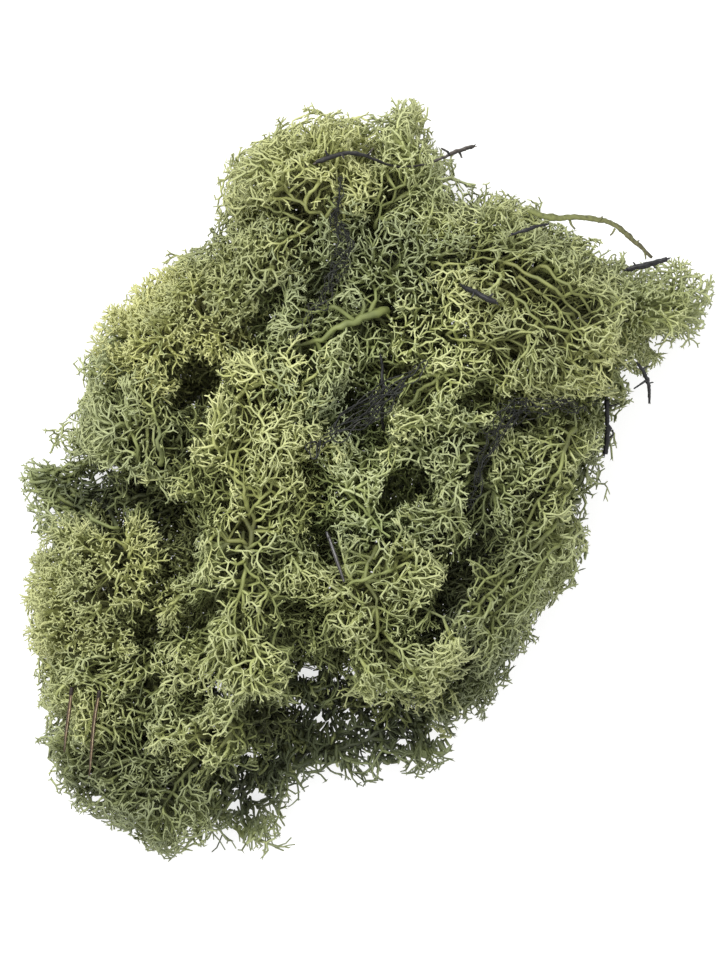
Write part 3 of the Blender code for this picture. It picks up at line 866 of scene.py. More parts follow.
def settle(p, n, ends, keep, tuft, ways):
    """Adds the accepted children as nodes and takes their room."""
    global total
    rows, cols = np.where(keep)
    if len(rows) == 0:
        return rows, cols, np.zeros(0, np.int64)
    e = ends[rows, cols]
    ids = total + np.arange(len(rows))
    pos_all.append(e)
    par_all.append(n[rows])
    tuft_all.append(tuft[rows])
    total += len(rows)
    a = p[rows]
    for f in (0.45, 0.7, 0.85, 1.0):
        take(a + (e - a) * f)
    return rows, cols, ids


BUDGET = 71000
finished = []  # ids of ends that may carry a star of short prongs
generation = 0
while len(tips["n"]) and generation < 11 and total < BUDGET:
    order = rng.permutation(len(tips["n"]))
    nxt = {k: [] for k in tips}
    for part in np.array_split(order, 5):
        if len(part) == 0:
            continue
        P, D, N, T, G, B = (tips[k][part] for k in ("p", "d", "n", "t", "g", "b"))
        sd = signed_at(P)
        fine = FINE[T]
        deep = np.clip(sd / SHELL, 0, 1.6)
        # sides and underside are a little more open than the top
        spread = 1 + 0.5 * np.clip(0.35 - outward_at(P)[:, 2], 0, 1.2) * (sd < 8)
        length = (1.35 + 1.75 * deep) * fine * spread * (0.85 + 0.3 * rng.random(len(P)))
        pit = np.clip((signed_at(P, HULL) - sd - 3.0) / 6.0, 0, 1)
        room = (0.64 + 0.72 * deep + 0.45 * pit) * fine * spread
        limit = -0.6 + 3.0 * BARE[T] * np.maximum(0, clumpy(P)) - 5.0 * B
        roll = rng.random(len(P))
        ways = np.where(roll < 0.13, 1, np.where(roll < 0.13 + 0.24, 3, 2))
        ways = np.where((G == 0) & (ways == 1), 2, ways)
        for w in (1, 2, 3):
            sel = np.where(ways == w)[0]
            if len(sel) == 0:
                continue
            lean = np.full(len(sel), {1: 0.33, 2: 0.62, 3: 0.80}[w])
            pull = np.where(sd[sel] > 3, 0.22, 0.04)
            dirs, ends, score, busy = fork(
                P[sel], D[sel], T[sel], w, length[sel], lean, 8, pull, limit[sel], room[sel]
            )
            keep = score < (3.1 + 0.9 * (deep[sel, None] < 0.5))
            # skip the second of a crowded pair at random where the tuft is bare
            keep &= rng.random(keep.shape) > 0.35 * BARE[T[sel]][:, None] * (G[sel, None] > 0)
            rows, cols, ids = settle(P[sel], N[sel], ends, keep, T[sel], w)
            if len(rows):
                nxt["p"].append(ends[rows, cols])
                nxt["d"].append(dirs[rows, cols])
                nxt["n"].append(ids)
                nxt["t"].append(T[sel][rows])
                nxt["g"].append(G[sel][rows] + 1)
                bold = np.maximum(B[sel][rows], rng.random(len(rows)) < 0.012 + 0.02 * (edge_at(ends[rows, cols]) < 3))
                nxt["b"].append(bold * (rng.random(len(rows)) < 0.9))
            none = ~keep.any(axis=1)
            finished.append(np.stack([N[sel][none], np.zeros(none.sum(), np.int64)], 1))
    if not nxt["n"]:
        break
    tips = {k: np.concatenate(v) for k, v in nxt.items()}
    # an end past its own ragged limit stops there
    stop = signed_at(tips["p"]) < 0.9 + 0.9 * ragged(tips["p"]) - 3.8 * tips["b"]
    stop &= rng.random(len(stop)) < 0.75
    finished.append(np.stack([tips["n"][stop], np.ones(stop.sum(), np.int64)], 1))
    tips = {k: v[~stop] for k, v in tips.items()}
    buried = (signed_at(tips["p"]) > 8.5) & (tips["g"] >= 4)
    tips = {k: v[~buried] for k, v in tips.items()}
    generation += 1
    print("generation", generation, "tips", len(tips["n"]), "nodes", total, round(time.time() - T0, 1))
finished.append(np.stack([tips["n"], np.ones(len(tips["n"]), np.int64)], 1))

pos = np.concatenate(pos_all)
par = np.concatenate(par_all)
tuft = np.concatenate(tuft_all)
done = np.concatenate(finished)
done = done[done[:, 0] >= len(POS)]
_, once = np.unique(done[:, 0], return_index=True)
done = done[once]

# short prongs at the ends near the surface
e = done[:, 0]
sd = signed_at(pos[e])
pick = (sd < 5.0) & (rng.random(len(e)) < 0.88 - 0.6 * np.clip(-outward_at(pos[e])[:, 2], 0, 1))
e = e[pick]
order = rng.permutation(len(e))
e = e[order]
for part in np.array_split(e, 4):
    P = pos[part]
    D = unit(P - pos[par[part]])
    T = tuft[part]
    roll = rng.random(len(part))
    ways = np.where(roll < 0.55, 2, np.where(roll < 0.93, 3, 4))
    for w in (2, 3, 4):
        sel = np.where(ways == w)[0]
        if len(sel) == 0:
            continue
        length = (1.0 + 0.5 * rng.random(len(sel))) * FINE[T[sel]] ** 0.7
        lean = np.full(len(sel), {2: 0.62, 3: 0.85, 4: 0.95}[w])
        dirs, ends, score, busy = fork(
            P[sel], D[sel], T[sel], w, length, lean, 5, np.full(len(sel), 0.05),
            np.full(len(sel), -3.2), np.full(len(sel), 0.42)
        )
        keep = score < 7.0
        settle(P[sel], part[sel], ends, keep, T[sel], w)
pos = np.concatenate(pos_all)
par = np.concatenate(par_all)
tuft = np.concatenate(tuft_all)
print("nodes", len(pos), round(time.time() - T0, 1))

# old matted branches at the base close the sight lines down to the floor
EYE = 1195.0
FINE_GRID = 0.25
cover = np.zeros((int(DIM[0] / FINE_GRID), int(DIM[1] / FINE_GRID)), bool)


def cover_with(a, b, wide=0.0):
    """Marks what runs from a to b hide from the eye on a fine grid at floor height."""
    shifts = [(0, 0)]
    if wide:
        shifts = [(wide * i / 2, wide * j / 2) for i in range(-2, 3) for j in range(-2, 3) if i * i + j * j < 6]
    for f in np.linspace(0, 1, 13):
        p = a + (b - a) * f
        q = p[:, :2] * (EYE / (EYE - p[:, 2:3]))
        for shift in shifts:
            c = np.floor((q + np.array(shift) - LOW[:2]) / FINE_GRID).astype(np.int64)
            c = np.clip(c, 0, np.array(cover.shape) - 1)
            cover[c[:, 0], c[:, 1]] = True


# no branch runs quite straight
crook = rng.normal(0, 0.17, pos.shape)
crook[: len(FIXED)] *= 0.3
pos = pos + crook
# short ends deep inside, which nobody sees, are left out
hidden_end = np.bincount(par[par >= 0], minlength=len(pos)) == 0
hidden_end &= (signed_at(pos) > 4.9) & (rng.random(len(pos)) < 0.9)
has = (par >= 0) & ~hidden_end
cover_with(pos[par[has]], pos[has])
shut_in = EDGE > 1.6
for x, y, a, b in OPENINGS:
    shut_in &= inside_oval(x, y, a + 0.6, b + 0.6) >= 1
ci = (np.arange(cover.shape[0]) * FINE_GRID / CELL).astype(int)
cj = (np.arange(cover.shape[1]) * FINE_GRID / CELL).astype(int)
may = shut_in[np.ix_(ci, cj)]
for turn_no in range(12):
    low = np.where((pos[:, 2] > 1.5) & (pos[:, 2] < 17) & ~hidden_end)[0]
    tree = KDTree(len(low))
    for i, n in enumerate(low):
        tree.insert((pos[n, 0], pos[n, 1], 0.0), i)
    tree.balance()
    gap = may & ~cover
    pair = gap.copy()
    pair[:-1] = gap[:-1] & gap[1:]
    gap[:, :-1] &= gap[:, 1:]
    gap |= pair
    cells = np.argwhere(gap)
    if len(cells) < 20:
        break
    cells = cells[rng.permutation(len(cells))][:4000]
    seen = set()
    ends, froms = [], []
    for c in cells:
        key = (c[0] // 4, c[1] // 4)
        if key in seen:
            continue
        seen.add(key)
        x, y = LOW[:2] + (c + 1.0) * FINE_GRID
        (qx, qy, _), i, d = tree.find((x, y, 0.0))
        n = low[i]
        if d > 9:
            continue
        z = float(np.clip(pos[n, 2] + rng.normal(0, 1.2), 1.6, 17))
        x, y = x * (1 - z / EYE), y * (1 - z / EYE)
        d = math.hypot(x - qx, y - qy) + 1e-3
        over = 1 + 0.9 / max(d, 0.5)
        ends.append((qx + (x - qx) * over, qy + (y - qy) * over, z))
        froms.append(n)
    if not ends:
        break
    ends = np.array(ends)
    froms = np.array(froms)
    par = np.concatenate([par, froms])
    hidden_end = np.concatenate([hidden_end, np.zeros(len(froms), bool)])
    tuft = np.concatenate([tuft, tuft[froms]])
    cover_with(pos[froms], ends, 0.36)
    pos = np.concatenate([pos, ends])
print("closed", len(pos) - total, "still open", len(cells), round(time.time() - T0, 1))

# ------------------------------------------------------------------ how thick each branch is
N = len(pos)
TIP_R = 0.215
POWER = 3.1
child_count = np.bincount(par[par >= 0], minlength=N)
load = np.zeros(N)
load[child_count == 0] = TIP_R**POWER
load[total:] = 0.62**POWER
load_list = load.tolist()
par_list = par.tolist()
for i in range(N - 1, -1, -1):
    if par_list[i] >= 0:
        load_list[par_list[i]] += load_list[i]
load = np.array(load_list)
radius = load ** (1 / POWER)
cap = np.minimum(radius, 0.38 + 0.075 * np.clip(signed_at(pos), 0, 7))
radius = cap * (1 + 0.06 * rng.standard_normal(N))
fixed = np.zeros(N)
fixed[: len(FIXED)] = FIXED
slim = np.where(tuft == NAMES.index("tuft_centre_top"), 0.96, 0.86)
radius = np.where(fixed > 0, fixed * slim * (1 + 0.12 * rng.standard_normal(N)), radius)
radius[total:] = np.maximum(radius[total:], 0.50)
fine_of = FINE[tuft]
radius = np.where(radius < 0.5, radius * (0.80 + 0.20 * np.minimum(fine_of, 1.15)), radius)
pos[:, 2] = np.maximum(pos[:, 2], radius * 1.3 + 0.1)

# primary child carries the tube on
kids = [[] for _ in range(N)]
for i in range(N):
    if par_list[i] >= 0:
        kids[par_list[i]].append(i)
rad_list = radius.tolist()
chains = []
todo = [i for i in range(N) if par_list[i] < 0]
stack = [(i, -1) for i in todo]
while stack:
    head, before = stack.pop()
    line = [before, head] if before >= 0 else [head]
    node = head
    while kids[node]:
        ks = kids[node]
        if len(ks) == 1:
            nxt_node = ks[0]
        else:
            nxt_node = max(ks, key=lambda c: (rad_list[c], c))
        for c in ks:
            if c != nxt_node:
                stack.append((c, node))
        # a thick run ends where it gets thin; a finer tube goes on from inside it
        if len(line) > 2 and rad_list[line[max(0, len(line) - 2)]] >= 0.42 > rad_list[nxt_node]:
            stack.append((nxt_node, node))
            break
        line.append(nxt_node)
        node = nxt_node
    if hidden_end[line[-1]]:
        line.pop()
    if len(line) > 1:
        chains.append(line)
print("chains", len(chains), "hidden ends", int(hidden_end.sum()), round(time.time() - T0, 1))

# ------------------------------------------------------------------ tubes
surface = signed_at(pos)
is_tip = child_count == 0
faces_up = outward_at(pos)[:, 2]
in_sight = (faces_up > 0.12) & (surface < 3.2)


def tubes(lines, sides, mid):
    """Rings along every line, as arrays: vertices, faces, node weights for colour."""
    pts, rad, src, start, tipped = [], [], [], [0], []
    for line in lines:
        q = pos[line]
        own = radius[line].copy()
        # a side branch leaves its parent at its own width
        if par_list[line[1]] == line[0]:
            own[0] = min(own[0], own[1] * 1.12)
        n = len(line)
        ext = np.vstack([2 * q[0] - q[1], q, 2 * q[-1] - q[-2]])
        P, R, S = [q[0]], [own[0]], [line[0]]
        for i in range(n - 1):
            seg = np.linalg.norm(q[i + 1] - q[i])
            if seg > mid and surface[line[i + 1]] < 5.0 and faces_up[line[i + 1]] > -0.2:
                p0, p1, p2, p3 = ext[i : i + 4]
                P.append((-p0 + 9 * p1 + 9 * p2 - p3) / 16 + rng.normal(0, 0.045 * seg, 3))
                R.append((own[i] + own[i + 1]) / 2)
                S.append(line[i + 1])
            P.append(q[i + 1])
            R.append(own[i + 1])
            S.append(line[i + 1])
        pts.append(np.array(P))
        rad.append(np.array(R))
        src.append(np.array(S))
        start.append(start[-1] + len(P))
    P = np.concatenate(pts)
    R = np.concatenate(rad)
    S = np.concatenate(src)
    start = np.array(start)
    lens = np.diff(start)
    # directions
    first = start[:-1]
    last = start[1:] - 1
    tang = np.empty_like(P)
    tang[1:-1] = P[2:] - P[:-2]
    tang[first] = P[first + 1] - P[first]
    tang[last] = P[last] - P[last - 1]
    tang = unit(tang)
    norm = np.zeros_like(P)
    seedv = rng.standard_normal((len(first), 3))
    norm[first] = unit(np.cross(tang[first], seedv))
    for i in range(1, int(lens.max())):
        who = np.where(lens > i)[0]
        idx = first[who] + i
        prev = norm[idx - 1]
        v = prev - (prev * tang[idx]).sum(1, keepdims=True) * tang[idx]
        norm[idx] = unit(v)
    side = np.cross(tang, norm)
    ang = np.arange(sides) * 2 * math.pi / sides
    lumps = 1 + 0.07 * rng.standard_normal((len(P), sides))
    # the last ring is drawn back from the end, and one point closes the tube;
    # the finest runs taper to that point from the ring before it
    Pr = P.copy()
    Rr = R.copy()
    Pr[last] = P[last] - tang[last] * np.minimum(R[last] * 1.0, 0.45)[:, None]
    Rr[last] = R[last] * 0.9
    shut_early = np.zeros(len(last), bool)
    if sides == 3:
        gap_last = np.linalg.norm(P[last] - P[last - 1], axis=1)
        shut_early = (gap_last < 1.9) & is_tip[S[last]] & ~in_sight[S[last]]
        Rr[last - 1] = np.where(shut_early, Rr[last - 1] * 1.12, Rr[last - 1])
    ring = Pr[:, None] + (norm[:, None] * np.cos(ang)[None, :, None] + side[:, None] * np.sin(ang)[None, :, None]) * (
        Rr[:, None] * lumps
    )[..., None]
    verts = ring.reshape(-1, 3)
    vsrc = np.repeat(S, sides)
    body = np.ones(len(P), bool)
    body[last] = False
    body[last[shut_early] - 1] = False
    i = np.where(body)[0]
    k = np.arange(sides)
    k2 = (k + 1) % sides
    a = i[:, None] * sides + k[None]
    b = i[:, None] * sides + k2[None]
    c = (i[:, None] + 1) * sides + k2[None]
    d = (i[:, None] + 1) * sides + k[None]
    quads = np.stack([a, b, c, d], axis=-1).reshape(-1, 4)
    tris1 = quads[:, [0, 1, 2]]
    tris2 = quads[:, [0, 2, 3]]
    # a three-sided blunt end is closed by one face, every other end by a point
    pointed = shut_early if sides == 3 else np.ones(len(last), bool)
    at = last[pointed]
    apex = len(verts) + np.arange(len(at))
    ends = P[at] + tang[at] * (R[at] * 0.25)[:, None]
    verts = np.concatenate([verts, ends])
    vsrc = np.concatenate([vsrc, S[at]])
    base_ring = np.where(shut_early[pointed], at - 1, at)
    a = base_ring[:, None] * sides + k[None]
    b = base_ring[:, None] * sides + k2[None]
    capf = np.stack([a, b, np.broadcast_to(apex[:, None], a.shape)], axis=-1).reshape(-1, 3)
    if sides == 3:
        capf = np.concatenate([capf, last[~pointed][:, None] * 3 + k[None]])
    # the rings past an early end carry no face
    if shut_early.any():
        keep = np.ones(len(verts), bool)
        gone = last[shut_early][:, None] * sides + k[None]
        keep[gone.ravel()] = False
        number = np.cumsum(keep) - 1
        return verts[keep], number[np.concatenate([tris1, tris2, capf])], vsrc[keep]
    return verts, np.concatenate([tris1, tris2, capf]), vsrc


# each node's colour coordinates: u is tone, from shade to light, which is painted light and shade together with the
# lichen's own lighter and darker parts; v is age, from fresh tip to old stem, and also depth in the clump, which
# darkens as painted shade
BRIGHT = np.array([TUFTS[n][3] for n in NAMES])
YELLOW = np.array([TUFTS[n][4] for n in NAMES])
# the tuft brightness here brings in painted light and shade along with the tuft's own lightness; the drifts and the
# random part are the lichen's own tone
tone = 0.5 + 0.42 * (BRIGHT[tuft] - 0.9) + 0.11 * drift(pos) + 0.06 * clumpy(pos)
tone += 0.055 * rng.standard_normal(N)
hull = signed_at(pos, HULL)
# painted shade: branches sunk in the pits under the outer hull are drawn darker
tone -= 0.28 * np.clip((hull - surface - 2.6) / 6.0, 0, 1)
# painted shade: branches low down are drawn darker, less so near the outline
tone -= (0.30 * np.clip((15.0 - pos[:, 2]) / 13.0, 0, 1)) * np.clip(edge_at(pos) / 10.0, 0.25, 1)
# painted shade: the right side of the low cushion is drawn darker
tone -= 0.2 * (tuft == NAMES.index("tuft_cushion_low")) * np.clip((pos[:, 0] + 56) / 12, 0, 1)
# age grows with depth under the face and in the pits under the outer hull: old bases are darker, and this darkening
# also paints the shade deep in the clump
age_and_depth_shade = np.clip((0.4 * surface + 0.6 * np.maximum(surface, hull - 1.0) - 0.5) / 11.0, 0, 1) ** 0.85 * 0.85
age_and_depth_shade += 0.26 * np.clip((radius - 0.38) / 0.6, 0, 1) + 0.03 * rng.standard_normal(N)
age_and_depth_shade -= 0.10 * is_tip
age_and_depth_shade += 0.20 * (fixed > 0)
tone -= 0.08 * (fixed > 0)


def build(name, lines_by_sides, t):
    verts, faces, src = [], [], []
    base = 0
    for sides, mid, lines in lines_by_sides:
        if not lines:
            continue
        v, f, s = tubes(lines, sides, mid)
        verts.append(v)
        faces.append(f + base)
        src.append(s)
        base += len(v)
    v = np.concatenate(verts)
    v[:, 2] = np.maximum(v[:, 2], 0.05)
    f = np.concatenate(faces)
    s = np.concatenate(src)
    me = bpy.data.meshes.new(name)
    me.vertices.add(len(v))
    me.vertices.foreach_set("co", (v / 1000.0).astype(np.float32).ravel())
    me.loops.add(len(f) * 3)
    me.loops.foreach_set("vertex_index", f.astype(np.int32).ravel())
    me.polygons.add(len(f))
    me.polygons.foreach_set("loop_start", (np.arange(len(f)) * 3).astype(np.int32))
    me.polygons.foreach_set("use_smooth", np.ones(len(f), bool))
    me.update(calc_edges=True)
    uv = me.uv_layers.new(name="OFBake")
    u_v = np.stack([tone[s] + 0.02 * rng.standard_normal(len(s)), age_and_depth_shade[s] + 0.02 * rng.standard_normal(len(s))], 1)
    u_v = np.clip(u_v, 0.01, 0.99)
    uv.data.foreach_set("uv", u_v[f.ravel()].astype(np.float32).ravel())
    ob = bpy.data.objects.new(name, me)
    bpy.context.scene.collection.objects.link(ob)
    return ob, len(f)


def node(nt, kind, x=0, y=0, **values):
    n = nt.nodes.new(kind)
    n.location = (x, y)
    for k, v in values.items():
        setattr(n, k, v)
    return n


def ramp(nt, x, y, stops):
    r = node(nt, "ShaderNodeValToRGB", x, y)
    cr = r.color_ramp
    cr.interpolation = "LINEAR"
    while len(cr.elements) > 1:
        cr.elements.remove(cr.elements[-1])
    cr.elements[0].position = stops[0][0]
    cr.elements[0].color = (*stops[0][1], 1)
    for at, col in stops[1:]:
        el = cr.elements.new(at)
        el.color = (*col, 1)
    return r


def lichen_material(name, yellow):
    """Colour by age along the branch, darker also with depth in the clump as painted shade, then light or shade by
    tone, and a little yellow or blue by tuft.
    """
    mat = bpy.data.materials.new(name)
    mat.use_nodes = True
    nt = mat.node_tree
    bsdf = nt.nodes["Principled BSDF"]
    bsdf.inputs["Roughness"].default_value = 0.62
    bsdf.inputs["Specular IOR Level"].default_value = 0.42
    uv = node(nt, "ShaderNodeUVMap", -1100, 0, uv_map="OFBake")
    sep = node(nt, "ShaderNodeSeparateXYZ", -900, 0)
    nt.links.new(uv.outputs["UV"], sep.inputs[0])
    y = yellow
    fresh = (0.390 + 0.03 * y, 0.420, 0.217 - 0.045 * y)
    grown = (0.312 + 0.03 * y, 0.342, 0.143 - 0.030 * y)
    mid = (0.230 + 0.03 * y, 0.258, 0.088 - 0.010 * y)
    old = (0.176 + 0.03 * y, 0.196, 0.062)
    dead = (0.116 + 0.02 * y, 0.126, 0.044)
    # the old and dead colours are also what the deep branches get, as painted shade
    age_shade_ramp = ramp(nt, -700, -150, [(0.0, fresh), (0.14, grown), (0.34, mid), (0.58, old), (0.85, dead)])
    nt.links.new(sep.outputs["Y"], age_shade_ramp.inputs[0])
    tones = ramp(nt, -700, 150, [(0.05, (0.22, 0.24, 0.25)), (0.5, (0.80, 0.82, 0.80)), (0.95, (1.32, 1.28, 1.18))])
    nt.links.new(sep.outputs["X"], tones.inputs[0])
    mix = node(nt, "ShaderNodeMix", -350, 0, data_type="RGBA", blend_type="MULTIPLY")
    mix.inputs["Factor"].default_value = 1.0
    nt.links.new(age_shade_ramp.outputs[0], mix.inputs["A"])
    nt.links.new(tones.outputs[0], mix.inputs["B"])
    nt.links.new(mix.outputs["Result"], bsdf.inputs["Base Color"])
    return mat


by_tuft = [[] for _ in NAMES]
for line in chains:
    by_tuft[tuft[line[1]]].append(line)
faces_total = 0
for t, name in enumerate(NAMES):
    thick, midl, thin = [], [], []
    for line in by_tuft[t]:
        big = max(radius[i] for i in line[1:])
        (thick if big >= 0.62 else midl if big >= 0.40 else thin).append(line)
    ob, nf = build("moss_" + name[5:], [(6, 2.0, thick), (4, 2.8, midl), (3, 2.7, thin)], t)
    ob.data.materials.append(lichen_material("lichen_" + name[5:], TUFTS[name][4]))
    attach(ob, "root")
    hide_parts(name)
    faces_total += nf
print("moss faces", faces_total, round(time.time() - T0, 1))

# ------------------------------------------------------------------ litter


class Batch:
    """Tubes gathered into one mesh, each vertex with a tone and a place on the colour ramp."""

    def __init__(self):
        self.v, self.f, self.uv, self.n = [], [], [], 0

    def pipe(self, path, radii, sides=8, rough=0.08, tone_of=0.5, place=(0.0, 1.0), blunt=0.3):
        P, R = np.asarray(path, float), np.asarray(radii, float)
        n = len(P)
        tang = unit(np.gradient(P, axis=0))
        norm = np.zeros_like(P)
        norm[0] = unit(np.cross(tang[0], rng.standard_normal(3)))
        for i in range(1, n):
            v = norm[i - 1] - (norm[i - 1] @ tang[i]) * tang[i]
            norm[i] = unit(v)
        side = np.cross(tang, norm)
        ang = np.arange(sides) * 2 * math.pi / sides
        # ridges run along the piece, lumps sit on it
        ridge = 1 + rough * rng.standard_normal(sides)[None] + 0.7 * rough * rng.standard_normal((n, sides))
        ring = P[:, None] + (
            norm[:, None] * np.cos(ang)[None, :, None] + side[:, None] * np.sin(ang)[None, :, None]
        ) * (R[:, None] * ridge)[..., None]
        k = np.arange(sides)
        k2 = (k + 1) % sides
        i = np.arange(n - 1)[:, None]
        a, b = i * sides + k, i * sides + k2
        c, d = b + sides, a + sides
        quads = np.stack([a, b, c, d], -1).reshape(-1, 4)
        first, last = n * sides, n * sides + 1
        f = np.concatenate(
            [
                quads[:, [0, 1, 2]],
                quads[:, [0, 2, 3]],
                np.stack([k2, k, np.full(sides, first)], -1),
                np.stack([(n - 1) * sides + k, (n - 1) * sides + k2, np.full(sides, last)], -1),
            ]
        )
        ends = np.stack([P[0] - tang[0] * R[0] * blunt, P[-1] + tang[-1] * R[-1] * blunt])
        v = np.concatenate([ring.reshape(-1, 3), ends])
        along = np.linspace(place[0], place[1], n)
        vv = np.concatenate([np.repeat(along, sides), [place[0], place[1]]])
        uu = tone_of + 0.13 * rng.standard_normal(len(v))
        uu[: n * sides] += np.tile(0.14 * rng.standard_normal(sides), n)
        self.v.append(v)
        self.f.append(f + self.n)
        self.uv.append(np.stack([uu, vv + 0.05 * rng.standard_normal(len(v))], 1))
        self.n += len(v)

    def make(self, name):
        v, f, uv_of = np.concatenate(self.v), np.concatenate(self.f), np.concatenate(self.uv)
        me = bpy.data.meshes.new(name)
        me.vertices.add(len(v))
        me.vertices.foreach_set("co", (v / 1000.0).astype(np.float32).ravel())
        me.loops.add(len(f) * 3)
        me.loops.foreach_set("vertex_index", f.astype(np.int32).ravel())
        me.polygons.add(len(f))
        me.polygons.foreach_set("loop_start", (np.arange(len(f)) * 3).astype(np.int32))
        me.polygons.foreach_set("use_smooth", np.ones(len(f), bool))
        me.update(calc_edges=True)
        uv = me.uv_layers.new(name="OFBake")
        uv.data.foreach_set("uv", np.clip(uv_of, 0.01, 0.99)[f.ravel()].astype(np.float32).ravel())
        ob = bpy.data.objects.new(name, me)
        bpy.context.scene.collection.objects.link(ob)
        return ob, len(f)


def litter_material(name, stops, light, rough, sheen):
    mat = bpy.data.materials.new(name)
    mat.use_nodes = True
    nt = mat.node_tree
    bsdf = nt.nodes["Principled BSDF"]
    bsdf.inputs["Roughness"].default_value = rough
    bsdf.inputs["Specular IOR Level"].default_value = sheen
    uv = node(nt, "ShaderNodeUVMap", -1100, 0, uv_map="OFBake")
    sep = node(nt, "ShaderNodeSeparateXYZ", -900, 0)
    nt.links.new(uv.outputs["UV"], sep.inputs[0])
    along = ramp(nt, -700, -150, stops)
    nt.links.new(sep.outputs["Y"], along.inputs[0])
    shade = ramp(nt, -700, 150, [(0.1, (0.45, 0.45, 0.47)), (0.5, (0.95, 0.95, 0.95)), (0.9, light)])
    nt.links.new(sep.outputs["X"], shade.inputs[0])
    mix = node(nt, "ShaderNodeMix", -350, 0, data_type="RGBA", blend_type="MULTIPLY")
    mix.inputs["Factor"].default_value = 1.0
    nt.links.new(along.outputs[0], mix.inputs["A"])
    nt.links.new(shade.outputs[0], mix.inputs["B"])
    nt.links.new(mix.outputs["Result"], bsdf.inputs["Base Color"])
    return mat


BARK = litter_material(
    "bark", [(0.0, (0.018, 0.017, 0.017)), (0.35, (0.012, 0.012, 0.012)), (0.7, (0.030, 0.026, 0.022)),
             (0.9, (0.060, 0.052, 0.044)), (1.0, (0.030, 0.027, 0.025))], (2.2, 2.1, 2.0), 0.62, 0.35)
BLACK_TWIG = litter_material(
    "black_twig", [(0.0, (0.008, 0.008, 0.009)), (0.5, (0.013, 0.013, 0.014)), (1.0, (0.010, 0.009, 0.010))],
    (2.4, 2.4, 2.5), 0.5, 0.35)
BARE_STEM = litter_material(
    "bare_stem", [(0.0, (0.150, 0.168, 0.056)), (0.3, (0.150, 0.160, 0.060)), (0.65, (0.120, 0.122, 0.052)),
                  (0.85, (0.09, 0.086, 0.042)), (1.0, (0.055, 0.05, 0.03))], (1.35, 1.33, 1.28), 0.7, 0.3)
NEEDLE = litter_material(
    "needle", [(0.0, (0.018, 0.011, 0.007)), (0.12, (0.040, 0.023, 0.012)), (0.35, (0.052, 0.034, 0.018)),
               (0.42, (0.20, 0.145, 0.085)), (0.5, (0.33, 0.27, 0.18)), (0.62, (0.15, 0.105, 0.062)),
               (0.9, (0.055, 0.038, 0.026)), (1.0, (0.03, 0.022, 0.016))], (1.5, 1.4, 1.3), 0.5, 0.3)
DARK_NEEDLE = litter_material(
    "dark_needle", [(0.0, (0.020, 0.018, 0.018)), (0.5, (0.05, 0.047, 0.045)), (1.0, (0.02, 0.018, 0.018))],
    (3.0, 3.0, 3.0), 0.35, 0.6)
STRAND = litter_material(
    "dead_strand", [(0.0, (0.008, 0.009, 0.008)), (0.6, (0.013, 0.014, 0.012)), (1.0, (0.030, 0.029, 0.025))],
    (2.6, 2.6, 2.4), 0.5, 0.28)

# side shoots and broken stubs: piece, from (x, y), to (x, y), rise, radius at the base
SHOOTS = {
    "twig_crown": [((24.6, 90.1), (22.4, 92.0), 1.2, 0.4), ((27.5, 91.2), (28.2, 89.6), 0.4, 0.35),
                   ((-6, 90), (-4.6, 88.4), 0.6, 0.4), ((-9, 88.9), (-9.8, 90.5), 0.8, 0.4),
                   ((2, 89.6), (3.4, 91.4), 0.8, 0.3)],
    "stem_arm": [((58, 71.8), (59.4, 69.2), 0.2, 0.45), ((66, 71.2), (67.0, 72.8), 0.6, 0.38),
                 ((70.5, 69.5), (69.2, 67.6), 0.3, 0.4), ((75.5, 65.8), (77.4, 66.2), 0.5, 0.35),
                 ((79, 62.9), (79.2, 61.0), 0.3, 0.3)],
    "twig_arm": [((81.5, 60.4), (82.4, 58.8), 0.3, 0.35), ((77, 59.2), (76.2, 60.6), 0.5, 0.35)],
    "twig_hanging": [((70.3, 11.4), (71.5, 13.9), 0.3, 0.38), ((69.7, 20.6), (73.2, 21.4), 0.4, 0.3),
                     ((70.2, 16), (69.0, 15.0), 0.3, 0.3)],
    "twig_fringe": [((79.9, 27.6), (76.4, 25.2), -0.4, 0.35), ((80.5, 25.8), (82.0, 27.0), 0.3, 0.3),
                    ((78.5, 30.6), (80.4, 31.6), 0.2, 0.3)],
    "twig_arm_mid": [((31, 51.3), (30.2, 49.6), 0.5, 0.35), ((35, 49.3), (36.4, 50.8), 0.5, 0.35)],
    "twig_centre": [((6.1, 26), (8.2, 24.2), 0.3, 0.28), ((6.0, 20), (4.2, 18.4), 0.3, 0.28)],
}
LOOK_OF = {"twig_crown": BARK, "stem_arm": BARE_STEM, "needle_left": NEEDLE, "needle_right": NEEDLE,
           "needle_dark": DARK_NEEDLE}
litter_faces = 0
